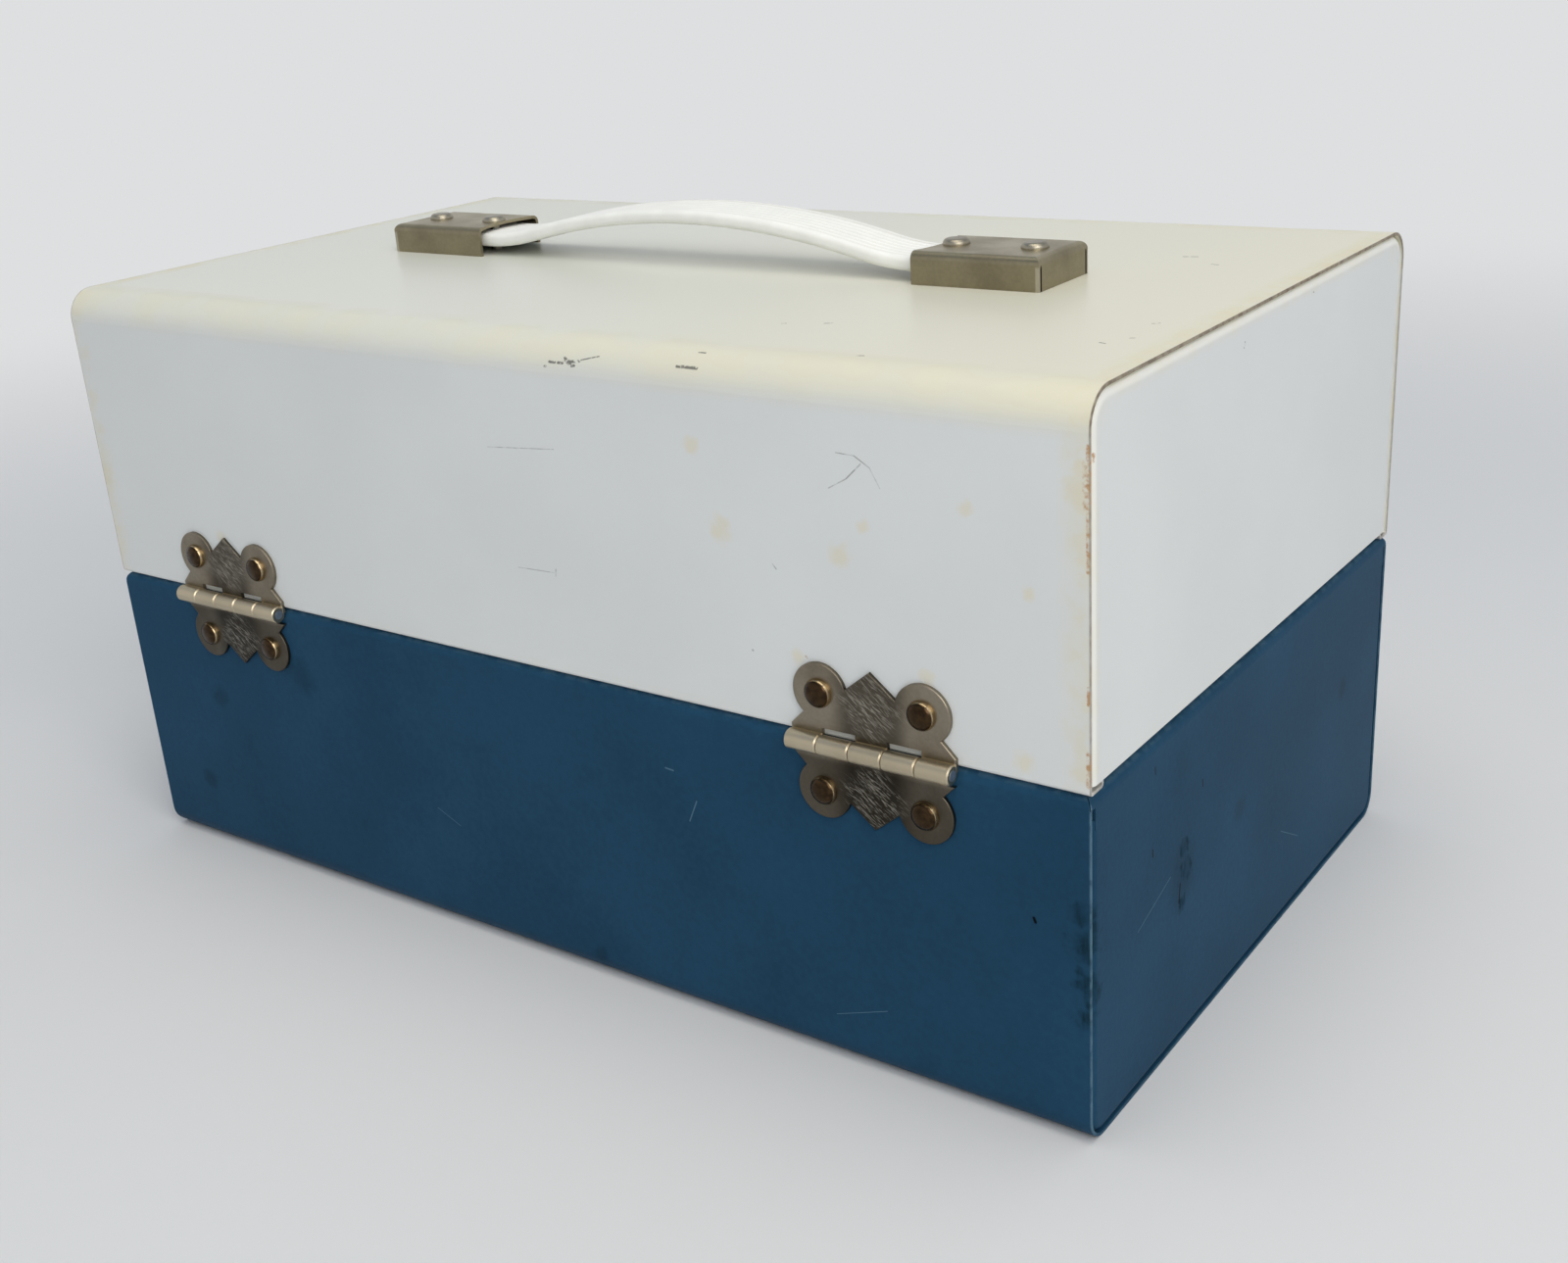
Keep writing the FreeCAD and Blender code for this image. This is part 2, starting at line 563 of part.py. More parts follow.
def hinge_leaf(label, hinge_sign, part, sign, own_knuckles):
    """One leaf of a butterfly hinge, drawn about the hinge's middle: upwards for +1, downwards for -1."""
    body = new_body(f"{label}_hinge_{part}_leaf")
    flare = "(notch_rise - (hinge_width / 2 - notch_offset))"
    half = [("hinge_width / 2", "0"), ("hinge_width / 2", flare), ("notch_offset", "notch_rise"),
            ("valley_offset", "valley_rise")]
    outline = half + [("0", "peak_rise")] + mirrored(half)
    outline = [(across, f"{HINGE_Z} + {sign} * ({up})") for across, up in outline]
    back = f"-({HALF_WIDTH} + leaf_gauge)"
    pad(body, "plate", "XZ", back, "leaf_gauge", [outline])
    wings = both_signs("lobe_offset", f"{HINGE_Z} + {sign} * lobe_rise")
    pad(body, "wings", "XZ", back, "leaf_gauge", circles=holes(wings, "lobe_radius"))
    outer_face = size(f"{HALF_WIDTH} + leaf_gauge")
    fillet(body, "outer_edges", "leaf_edge", lambda edge: lies_at(edge, 1, outer_face))
    windows = []
    others = [number for number in range(KNUCKLES) if number not in own_knuckles]
    for number in others:
        left = f"{knuckle_start(number)} - knuckle_gap"
        right = f"{knuckle_start(number + 1)} + knuckle_gap"
        near, far = f"{HINGE_Z} - {sign} * knuckle_radius", (
            f"{HINGE_Z} + {sign} * (knuckle_radius + knuckle_window)")
        windows.append(box_outline(left, right, near, far))
    pocket(body, "windows", "XZ", f"{back} - leaf_gauge", "3 * leaf_gauge", windows)
    for number in own_knuckles:
        bevelled_knuckle(body, number)
    pocket(body, "bore", "YZ", "-hinge_width", "2 * hinge_width", circles=[(HINGE_Y, HINGE_Z, BORE)])
    pocket(body, "rivet_holes", "XZ", f"{back} - leaf_gauge", "3 * leaf_gauge",
           circles=holes(wings, RIVET_HOLE))
    place(body, "x", f"{hinge_sign} * hinge_spacing / 2")


def pin(label, axis_y, axis_z, length, middle):
    body = new_body(label)
    pad(body, "shaft", "YZ", f"-({length}) / 2", length, circles=[(axis_y, axis_z, "pin_radius")])
    place(body, "x", middle)


def rivets(label, plane, places, shank, head_radius, seat, grip, outwards):
    """A group of rivets: a head on seat, a shank through grip and a clinched end, along a plane's normal."""
    body = new_body(label)
    along = 1 if outwards else -1
    tail_seat = f"({seat} - {along} * ({grip}))"

    def column(name, radius, start, length):
        low = start if outwards else f"({start} - ({length}))"
        pad(body, name, plane, low, length, circles=holes(places, radius))

    column("shanks", shank, tail_seat, grip)
    column("heads", head_radius, seat, "rivet_rise")
    axis = {"XY": 2, "XZ": 1}[plane]
    turn = {"XY": 1, "XZ": -1}[plane]
    crown = turn * size(f"{seat} + {along} * rivet_rise")
    fillet(body, "domes", "rivet_rise * 0.9", lambda edge: lies_at(edge, axis, crown))
    low = f"({tail_seat} - tail_rise)" if outwards else tail_seat
    clinched = f"{shank} + tail_radius - rivet_radius"
    pad(body, "tails", plane, low, "tail_rise", circles=holes(places, clinched))


def handle_cap(label, sign):
    body = new_body(f"handle_cap_{label}")
    mouth = "handle_span / 2"
    closed = f"({mouth} + cap_length)"
    half = "cap_width / 2"
    outline = [(f"{sign} * ({along})", across) for along, across in (
        (mouth, f"-{half}"), (closed, f"-{half}"), (closed, half), (mouth, half))]
    pad(body, "block", "XY", LID_TOP, "cap_height", [outline])
    top = size(f"{LID_TOP} + cap_height")
    mouth_plane = sign * size(mouth)

    def bent(edge):
        return lies_at(edge, 2, top) and not lies_at(edge, 0, mouth_plane)

    fillet(body, "top_bend", "cap_bend", bent)
    hollow(body, "shell", "cap_gauge", [(0, f"{sign} * {mouth}"), (2, LID_TOP)])
    seams = []
    for side in (-1, 1):
        inner, outer = f"({half} - cap_gauge - cap_seam)", f"({half} - cap_gauge)"
        seams.append(box_outline(f"{side} * {inner}", f"{side} * {outer}", f"{LID_TOP} - {MARGIN}",
                                 f"{LID_TOP} + cap_height - cap_bend"))
    start = f"{closed} - 2 * cap_gauge" if sign > 0 else f"-({closed} + cap_gauge)"
    pocket(body, "corner_seams", "YZ", start, "3 * cap_gauge", seams)
    reach = f"({half} - cap_bend)"
    bow = f"(({reach} * {reach} + mouth_hollow * mouth_hollow) / (2 * mouth_hollow))"
    turn = "" if sign > 0 else "-"
    pocket(body, "mouth", "XY", f"{LID_TOP} + cap_height - 2 * cap_gauge", "3 * cap_gauge",
           [[(f"{sign} * ({mouth})", f"-{reach}", f"{turn}{bow}"), (f"{sign} * ({mouth})", reach)]])
    spots = [spot for spot in handle_rivet_places() if spot[0].startswith(f"({sign} ")]
    pocket(body, "rivet_holes", "XY", f"{LID_TOP} + cap_height - 2 * cap_gauge", "3 * cap_gauge",
           circles=holes(spots, HANDLE_HOLE))


def round_strap(body):
    """Round the strap's long edges."""
    side = size("strap_width / 2")

    def test(edge):
        return any(lies_at(edge, 1, across) for across in (-side, side)) and not runs_along(edge, 2)

    fillet(body, "long_edges", "strap_round", test)


def strap_end(label, sign):
    """The flat end of the strap inside its cap, slotted so that it can slide on the two rivets."""
    body = new_body(f"strap_{label}_end")
    mouth = "handle_span / 2"
    tail = f"({mouth} + strap_tail)"
    half = "strap_width / 2"
    outline = [(f"{sign} * ({along})", across) for along, across in (
        (f"{mouth} + link_gap / 2", f"-{half}"), (tail, f"-{half}"), (tail, half),
        (f"{mouth} + link_gap / 2", half))]
    low = f"({LID_TOP} + strap_lift)"
    pad(body, "flat", "XY", low, "strap_gauge", [outline])
    side = "(handle_rivet_radius + slot_clearance)"
    slots = []
    for near, far in ((f"front_rivet_inset - {side}", f"front_rivet_inset + {side} + strap_travel"),
                      (f"rear_rivet_inset - {side}", f"strap_tail + {side}")):
        slots.append([(f"{sign} * ({mouth} + {along})", across) for along, across in (
            (near, f"-{side}"), (far, f"-{side}"), (far, side), (near, side))])
    pocket(body, "slots", "XY", f"{low} - strap_gauge", "3 * strap_gauge", slots)
    round_strap(body)


def strap_half(label, sign):
    """Half of the strap's arch: a hollow sweep next to the cap, then a crowned one up to the middle."""
    body = new_body(f"strap_{label}_half")
    mouth = "(handle_span / 2)"
    low = f"({LID_TOP} + strap_lift)"
    turn = f"(2 * atan(strap_arch / {mouth}))"
    crown_sweep = f"(({mouth} * {mouth} + strap_arch * strap_arch) / (2 * strap_arch) - mouth_sweep)"
    inside = "(mouth_sweep - strap_gauge)"
    outside = f"({crown_sweep} + strap_gauge)"
    bend_x = f"{mouth} - {{0}} * sin({turn})"
    bend_z = f"{low} + mouth_sweep - {{0}} * cos({turn})"
    hollow_turn, crown_turn = ("-", "") if sign > 0 else ("", "-")
    inside_turn, outside_turn = ("", "-") if sign > 0 else ("-", "")
    points = (
        (f"{mouth} - link_gap / 2", low, f"{hollow_turn}mouth_sweep"),
        (bend_x.format("mouth_sweep"), bend_z.format("mouth_sweep"), f"{crown_turn}{crown_sweep}"),
        ("link_gap / 2", f"{low} + strap_arch"),
        ("link_gap / 2", f"{low} + strap_arch + strap_gauge", f"{outside_turn}{outside}"),
        (bend_x.format(inside), bend_z.format(inside), f"{inside_turn}{inside}"),
        (f"{mouth} - link_gap / 2", f"{low} + strap_gauge"),
    )
    outline = [(f"{sign} * ({point[0]})",) + point[1:] for point in points]
    pad(body, "arch", "XZ", "-strap_width / 2", "strap_width", [outline])
    round_strap(body)


def latch_bracket():
    body = new_body("latch_bracket")
    half = "latch_width / 2"
    low = f"({LATCH_Z} - bracket_height)"
    front = HALF_WIDTH
    pad(body, "plate", "XZ", front, "leaf_gauge", [box_outline(f"-{half}", half, low, LATCH_Z)])
    fillet_lines(body, "corners", "latch_round", 1, both_signs(half, low))
    gap = "(hasp_width / 2 + knuckle_gap)"
    window_low = f"{LATCH_Z} - knuckle_radius - knuckle_window"
    barrel = "latch_barrel / 2"
    windows = [box_outline(f"-{gap}", gap, window_low, f"{LATCH_Z} + leaf_gauge")]
    for sign in (-1, 1):
        ends = [f"{sign} * {barrel}", f"{sign} * ({half} + leaf_gauge)"]
        windows.append(box_outline(*ends[::sign], f"{LATCH_Z} - knuckle_radius", f"{LATCH_Z} + leaf_gauge"))
    pocket(body, "windows", "XZ", f"{front} - leaf_gauge", "3 * leaf_gauge", windows)
    for name, start in (("left", f"-{barrel}"), ("right", gap)):
        pad(body, f"{name}_knuckle", "YZ", start, f"{barrel} - {gap}",
            circles=[(LATCH_Y, LATCH_Z, "knuckle_radius")])
    pocket(body, "bore", "YZ", "-latch_barrel", "2 * latch_barrel", circles=[(LATCH_Y, LATCH_Z, BORE)])
    places = latch_rivet_places(f"({LATCH_Z} - bracket_rivet_drop)")
    pocket(body, "rivet_holes", "XZ", f"{front} - leaf_gauge", "3 * leaf_gauge",
           circles=holes(places, RIVET_HOLE))


def latch_hasp():
    """The hasp, hanging down with its hook outwards. It swings up over the catch on the lid."""
    body = new_body("latch_hasp")
    half = "hasp_width / 2"
    inner = f"({LATCH_Y} + leaf_gauge / 2)"
    outer = f"({LATCH_Y} - leaf_gauge / 2)"
    hook_top = f"{LATCH_Z} - hasp_reach"
    hook_low = f"{hook_top} - hook_gauge"
    lip = f"{outer} - hook_depth"
    low = f"{LATCH_Z} - hasp_length"
    section = ((inner, LATCH_Z), (outer, LATCH_Z), (outer, hook_top), (lip, hook_top), (lip, hook_low),
               (outer, hook_low), (outer, low), (inner, low))
    pad(body, "plate", "YZ", f"-{half}", "hasp_width", [section])
    fillet_lines(body, "corners", "latch_round", 1, both_signs(half, low))
    pad(body, "knuckle", "YZ", f"-{half}", "hasp_width", circles=[(LATCH_Y, LATCH_Z, "knuckle_radius")])
    pocket(body, "bore", "YZ", f"-{half} - leaf_gauge", "2 * hasp_width",
           circles=[(LATCH_Y, LATCH_Z, BORE)])


def latch_catch():
    body = new_body("latch_catch")
    half = "latch_width / 2"
    low = f"({CATCH_TOP} - catch_height)"
    pad(body, "plate", "XZ", HALF_WIDTH, "leaf_gauge", [box_outline(f"-{half}", half, low, CATCH_TOP)])
    fillet_lines(body, "corners", "latch_round", 1, both_signs(half, low) + both_signs(half, CATCH_TOP))
    ledge = "(hasp_width / 2 - knuckle_gap)"
    pad(body, "ledge", "XZ", HALF_WIDTH, "leaf_gauge + ledge_depth",
        [box_outline(f"-{ledge}", ledge, f"{CATCH_TOP} - ledge_height", CATCH_TOP)])
    places = latch_rivet_places(f"({CATCH_TOP} - catch_height / 2)")
    pocket(body, "rivet_holes", "XZ", f"{HALF_WIDTH} - leaf_gauge", "3 * leaf_gauge",
           circles=holes(places, RIVET_HOLE))


def board_levels(part):
    """A board's lower face, and the lower faces of its rails' shelf and welded leg."""
    if part == "base":
        low = "(board_depth - board_gauge)"
        return low, f"({low} - rail_gauge)", f"({low} - rail_leg)"
    low = f"({LID_TOP} - board_depth)"
    return low, f"({low} + board_gauge)", f"({low} + board_gauge)"


def board_rail(part, label, sign):
    body = new_body(f"{part}_rail_{label}")
    board, shelf, leg = board_levels(part)
    wall = f"({HALF_LENGTH} - sheet_gauge)"
    for name, width, low, height in (("shelf", "rail_shelf", shelf, "rail_gauge"),
                                     ("leg", "rail_gauge", leg, "rail_leg")):
        outline = [(f"{sign} * ({along})", up) for along, up in (
            box_outline(f"{wall} - {width}", wall, low, f"{low} + {height}"))]
        pad(body, name, "XZ", "-rail_length / 2", "rail_length", [outline])
    spots = [spot for spot in screw_places() if spot[0].startswith(f"({sign} ")]
    pocket(body, "screw_holes", "XY", f"{shelf} - rail_gauge", "3 * rail_gauge",
           circles=holes(spots, SCREW_HOLE))


def repeat(body, feature, directions):
    """Repeat a feature along axes, given as axis, step and count."""
    pattern = body.newObject("PartDesign::MultiTransform", f"{feature.Name}_pattern")
    pattern.Originals = [feature]
    steps = []
    for axis, step, count in directions:
        row = body.newObject("PartDesign::LinearPattern", f"{feature.Name}_{axis}_row")
        support = next(item for item in body.Origin.OriginFeatures if item.Role == f"{axis}_Axis")
        row.Direction = (support, [""])
        row.setExpression("Length", tie(f"{count - 1} * ({step})"))
        row.Occurrences = count
        steps.append(row)
    pattern.Transformations = steps
    body.Tip = pattern
    doc.recompute()


def peg_board(part):
    body = new_body(f"{part}_board")
    low = board_levels(part)[0]
    pad(body, "sheet", "XY", low, "board_gauge", [box_outline(
        f"-{BOARD_HALF_LENGTH}", BOARD_HALF_LENGTH, f"-{BOARD_HALF_WIDTH}", BOARD_HALF_WIDTH)])
    fillet_lines(body, "corners", "board_round", 2,
                 both_signs(BOARD_HALF_LENGTH, f"-{BOARD_HALF_WIDTH}")
                 + both_signs(BOARD_HALF_LENGTH, BOARD_HALF_WIDTH))
    through = (f"{low} - board_gauge", "3 * board_gauge")
    pocket(body, "screw_holes", "XY", *through, circles=holes(screw_places(), SCREW_HOLE))
    if part == "base":
        across, along = f"({TRAY_HALF_WIDTH} + tray_clearance)", f"({TRAY_HALF_LENGTH} + tray_clearance)"
        pocket(body, "tray_opening", "XY", *through,
               [box_outline(f"-{across}", across, f"-{along}", along)])
    first = f"({GRID_CELLS - 1} * grid_pitch / 2)"
    hole = pocket(body, "hole", "XY", *through,
                  circles=[(f"-grid_offset - {first}", f"-{first}", "hole_radius")])
    repeat(body, hole, (("X", "grid_pitch", GRID_CELLS), ("Y", "grid_pitch", GRID_CELLS),
                        ("X", "2 * grid_offset", 2)))


def board_screws(part):
    """The screws that hold a board to its rails, heads on the playing face."""
    body = new_body(f"{part}_board_screws")
    low = board_levels(part)[0]
    grip = "(board_gauge + rail_gauge + screw_tail)"
    places = screw_places()
    if part == "base":
        face, shank, head = "board_depth", f"board_depth - {grip}", "board_depth"
        crown = size(f"{face} + screw_head_rise")
    else:
        face, shank, head = low, low, f"{low} - screw_head_rise"
        crown = size(head)
    pad(body, "shanks", "XY", shank, grip, circles=holes(places, "screw_radius"))
    pad(body, "heads", "XY", head, "screw_head_rise", circles=holes(places, "screw_head_radius"))
    fillet(body, "domes", "screw_head_rise / 2", lambda edge: lies_at(edge, 2, crown))


def peg_tray():
    body = new_body("peg_tray")
    low = "(board_depth - tray_depth)"
    pad(body, "block", "XY", low, "tray_depth + tray_wall", [box_outline(
        f"-{TRAY_HALF_WIDTH}", TRAY_HALF_WIDTH, f"-{TRAY_HALF_LENGTH}", TRAY_HALF_LENGTH)])
    across, along = f"({TRAY_HALF_WIDTH} + tray_rim)", f"({TRAY_HALF_LENGTH} + tray_rim)"
    pad(body, "rim", "XY", "board_depth", "tray_wall",
        [box_outline(f"-{across}", across, f"-{along}", along)])
    inner, end = f"({TRAY_HALF_WIDTH} - tray_wall)", f"({TRAY_HALF_LENGTH} - tray_wall)"
    wells = [box_outline(f"-{inner}", inner, "tray_wall / 2", end),
             box_outline(f"-{inner}", inner, f"-{end}", "-tray_wall / 2")]
    pocket(body, "wells", "XY", f"{low} + tray_wall", "2 * tray_depth", wells)


def tray_pegs(label, sign):
    """Pegs that lie across one well of the tray, in two rows with their heads outwards."""
    body = new_body(label)
    height = "(board_depth - tray_depth + tray_wall + peg_head_radius + seat_gap)"
    first = "(tray_wall / 2 + peg_gap + peg_head_radius)"
    spots = [(f"{sign} * ({first} + {number} * (2 * peg_head_radius + peg_gap))", height)
             for number in range(PEGS_IN_ROW)]
    head_end = f"({TRAY_HALF_WIDTH} - tray_wall - peg_gap)"
    neck = f"({head_end} - peg_head)"
    for row, side in SIDES:
        for name, radius, near, length in (
                ("heads", "peg_head_radius", neck, "peg_head"),
                ("shanks", "peg_radius", f"({neck} - peg_shank)", "peg_shank")):
            start = near if side > 0 else f"-({near} + {length})"
            pad(body, f"{row}_{name}", "YZ", start, length, circles=holes(spots, radius))


def ship(fleet, side, kind, cells, houses, berth):
    """A ship plugged into its grid: pins below, a pointed hull with a hole for each cell, and deckhouses."""
    body = new_body(f"{fleet}_{kind}")
    end = f"({cells} * grid_pitch - ship_gap) / 2"
    half = "ship_beam / 2"
    hull = ((f"-{end}", f"-{half} + ship_stern"), (f"-{end} + ship_stern", f"-{half}"),
            (f"{end} - ship_bow", f"-{half}"), (end, "0"), (f"{end} - ship_bow", half),
            (f"-{end} + ship_stern", half), (f"-{end}", f"{half} - ship_stern"))
    pad(body, "hull", "XY", "board_depth", "hull_height", [hull])
    deck = "(board_depth + hull_height)"
    middles = [f"({number - (cells - 1) / 2} * grid_pitch)" for number in range(cells)]
    for number, height in enumerate(houses):
        middle = f"({middles[number]} + grid_pitch / 2)"
        pad(body, f"house_{number}", "XY", deck, height, [box_outline(
            f"{middle} - house_length / 2", f"{middle} + house_length / 2",
            "-house_width / 2", "house_width / 2")])
    pins = [(middles[0], "0", "peg_radius"), (middles[-1], "0", "peg_radius")]
    pad(body, "pins", "XY", "board_depth - board_gauge", "board_gauge", circles=pins)
    pocket(body, "deck_holes", "XY", f"{deck} - deck_hole_depth", "2 * deck_hole_depth",
           circles=[(middle, "0", "hole_radius") for middle in middles])
    grid_row, column = berth
    centre = (GRID_CELLS - 1) / 2
    place(body, "x", f"{side} * grid_offset + {column + (cells - 1) / 2 - centre} * grid_pitch")
    place(body, "y", f"{grid_row - centre} * grid_pitch")


base_wrap()
lid_wrap()
for label, sign in SIDES:
    base_end(label, sign)
    lid_end(label, sign)
    hinge_leaf(label, sign, "lid", 1, (0, 2, 4))
    hinge_leaf(label, sign, "base", -1, (1, 3))
    pin(f"{label}_hinge_pin", HINGE_Y, HINGE_Z, "hinge_width", f"{sign} * hinge_spacing / 2")
    handle_cap(label, sign)
    strap_end(label, sign)
    strap_half(label, sign)
    for part in ("base", "lid"):
        board_rail(part, label, sign)

wall_grip = "leaf_gauge + sheet_gauge"
back_seat, front_seat = f"-({HALF_WIDTH} + leaf_gauge)", f"({HALF_WIDTH} + leaf_gauge)"
for label, sign in (("hinge_lid_rivets", 1), ("hinge_base_rivets", -1)):
    rivets(label, "XZ", hinge_rivet_places(sign), "rivet_radius", "hinge_head_radius",
           back_seat, wall_grip, False)
for label, height in (("latch_bracket_rivets", f"({LATCH_Z} - bracket_rivet_drop)"),
                      ("latch_catch_rivets", f"({CATCH_TOP} - catch_height / 2)")):
    rivets(label, "XZ", latch_rivet_places(height), "rivet_radius", "latch_head_radius",
           front_seat, wall_grip, True)
rivets("handle_rivets", "XY", handle_rivet_places(), "handle_rivet_radius", "handle_head_radius",
       f"({LID_TOP} + cap_height)", "cap_height + sheet_gauge", True)

latch_bracket()
pin("latch_pin", LATCH_Y, LATCH_Z, "latch_barrel", "0")
latch_hasp()
latch_catch()

for part in ("base", "lid"):
    peg_board(part)
    board_screws(part)
peg_tray()
tray_pegs("hit_pegs", 1)
tray_pegs("miss_pegs", -1)
for (fleet, berths), side in zip(BERTHS.items(), (-1, 1)):
    for (kind, cells, houses), berth in zip(FLEET, berths):
        ship(fleet, side, kind, cells, houses, berth)

doc.recompute()
for item in doc.Objects:
    if "Invalid" in item.State or "Error" in item.State:
        raise RuntimeError(f"{item.Label}: {item.State}")
for body in pieces:
    if body.Shape.isNull() or not body.Shape.isValid():
        raise RuntimeError(f"{body.Label}: no valid shape")

os.makedirs("parts", exist_ok=True)
for body in pieces:
    body.Shape.exportStep(os.path.join("parts", f"{body.Label}.step"))
print(f"{len(pieces)} pieces")
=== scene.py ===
import math

import bmesh
import bpy
from mathutils import Euler, Matrix, Vector


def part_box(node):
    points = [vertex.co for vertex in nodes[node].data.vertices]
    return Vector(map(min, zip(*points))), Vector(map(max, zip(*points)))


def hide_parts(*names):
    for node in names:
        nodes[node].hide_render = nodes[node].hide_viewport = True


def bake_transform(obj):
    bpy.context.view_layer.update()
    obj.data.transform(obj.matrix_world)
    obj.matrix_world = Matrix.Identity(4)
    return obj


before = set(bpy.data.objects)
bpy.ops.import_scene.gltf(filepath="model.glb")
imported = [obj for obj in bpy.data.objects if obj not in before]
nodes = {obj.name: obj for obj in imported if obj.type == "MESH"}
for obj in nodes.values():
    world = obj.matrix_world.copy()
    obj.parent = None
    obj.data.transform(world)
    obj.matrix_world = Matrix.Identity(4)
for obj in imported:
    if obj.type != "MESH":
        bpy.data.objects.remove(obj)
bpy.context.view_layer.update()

MM = 0.001

# Main levels and half sizes of the case, read from its sheets
lid_low, lid_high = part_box("lid_wrap")
base_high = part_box("base_wrap")[1]
HALF_LENGTH = lid_high.x
HALF_WIDTH = lid_high.y
LID_TOP = lid_high.z
LID_BOTTOM = lid_low.z
BASE_TOP = base_high.z

# Bends of the case's sheet, and the hinge axis
LID_BEND = 9 * MM
BASE_BEND = 7 * MM
SHEET = 0.8 * MM
pin_low, pin_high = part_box("left_hinge_pin")
HINGE_Y = (pin_low.y + pin_high.y) / 2
HINGE_Z = (pin_low.z + pin_high.z) / 2
KNUCKLE_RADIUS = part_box("left_hinge_lid_leaf")[1].y - HINGE_Y

# Colours as they look, each part from 0 to 255
WHITE = (222, 225, 224)
TOP_YELLOW_AND_WARM_LIGHT = (219, 220, 208)
CREAM = (226, 219, 190)
STAIN = (224, 209, 166)
HIGHLIGHT_WHITE = (246, 245, 238)
BARE_STEEL = (78, 76, 72)
RUST = (184, 140, 94)
DARK_RUST_AND_SHADE = (96, 76, 58)
BLUE = (34, 70, 96)
SOOT = (14, 34, 40)
NICK = (8, 12, 16)
WORN_BLUE = (92, 124, 142)
NICKEL = (170, 160, 132)
RIVET_NICKEL = (170, 164, 148)
HINGE_NICKEL = (144, 135, 120)
BARREL_REFLECTION = (204, 191, 165)
DULL_NICKEL = (112, 101, 84)
BRIGHT_NICKEL = (214, 208, 194)
BRASS = (78, 61, 42)
BRASS_RIM_HIGHLIGHT = (190, 169, 134)
TARNISH = (40, 30, 22)
STEEL = (172, 174, 178)
PIN_STEEL_AND_REFLECTION = (216, 221, 229)
ZINC = (126, 128, 130)
VINYL = (248, 248, 243)
GROOVE_GREY = (178, 172, 154)
BOARD = (196, 201, 198)
PRINT = (44, 78, 104)
TRAY = (58, 74, 86)
HIT_RED = (178, 34, 28)
MISS_WHITE = (228, 226, 218)
FIRST_GREY = (128, 134, 138)
SECOND_GREY = (78, 92, 104)
FLOOR = (222, 223, 224)
BACKDROP = (222, 223, 224)
SCUFF = (240, 240, 240)
SKY = (222, 234, 251)

# The range that cloudy noise mostly covers
NOISE_LOW = 0.3
NOISE_HIGH = 0.7


def linear(colour):
    """A colour given as it looks, as the light it reflects."""
    parts = [part / 255 for part in colour]
    return [part / 12.92 if part <= 0.04045 else ((part + 0.055) / 1.055) ** 2.4 for part in parts] + [1.0]


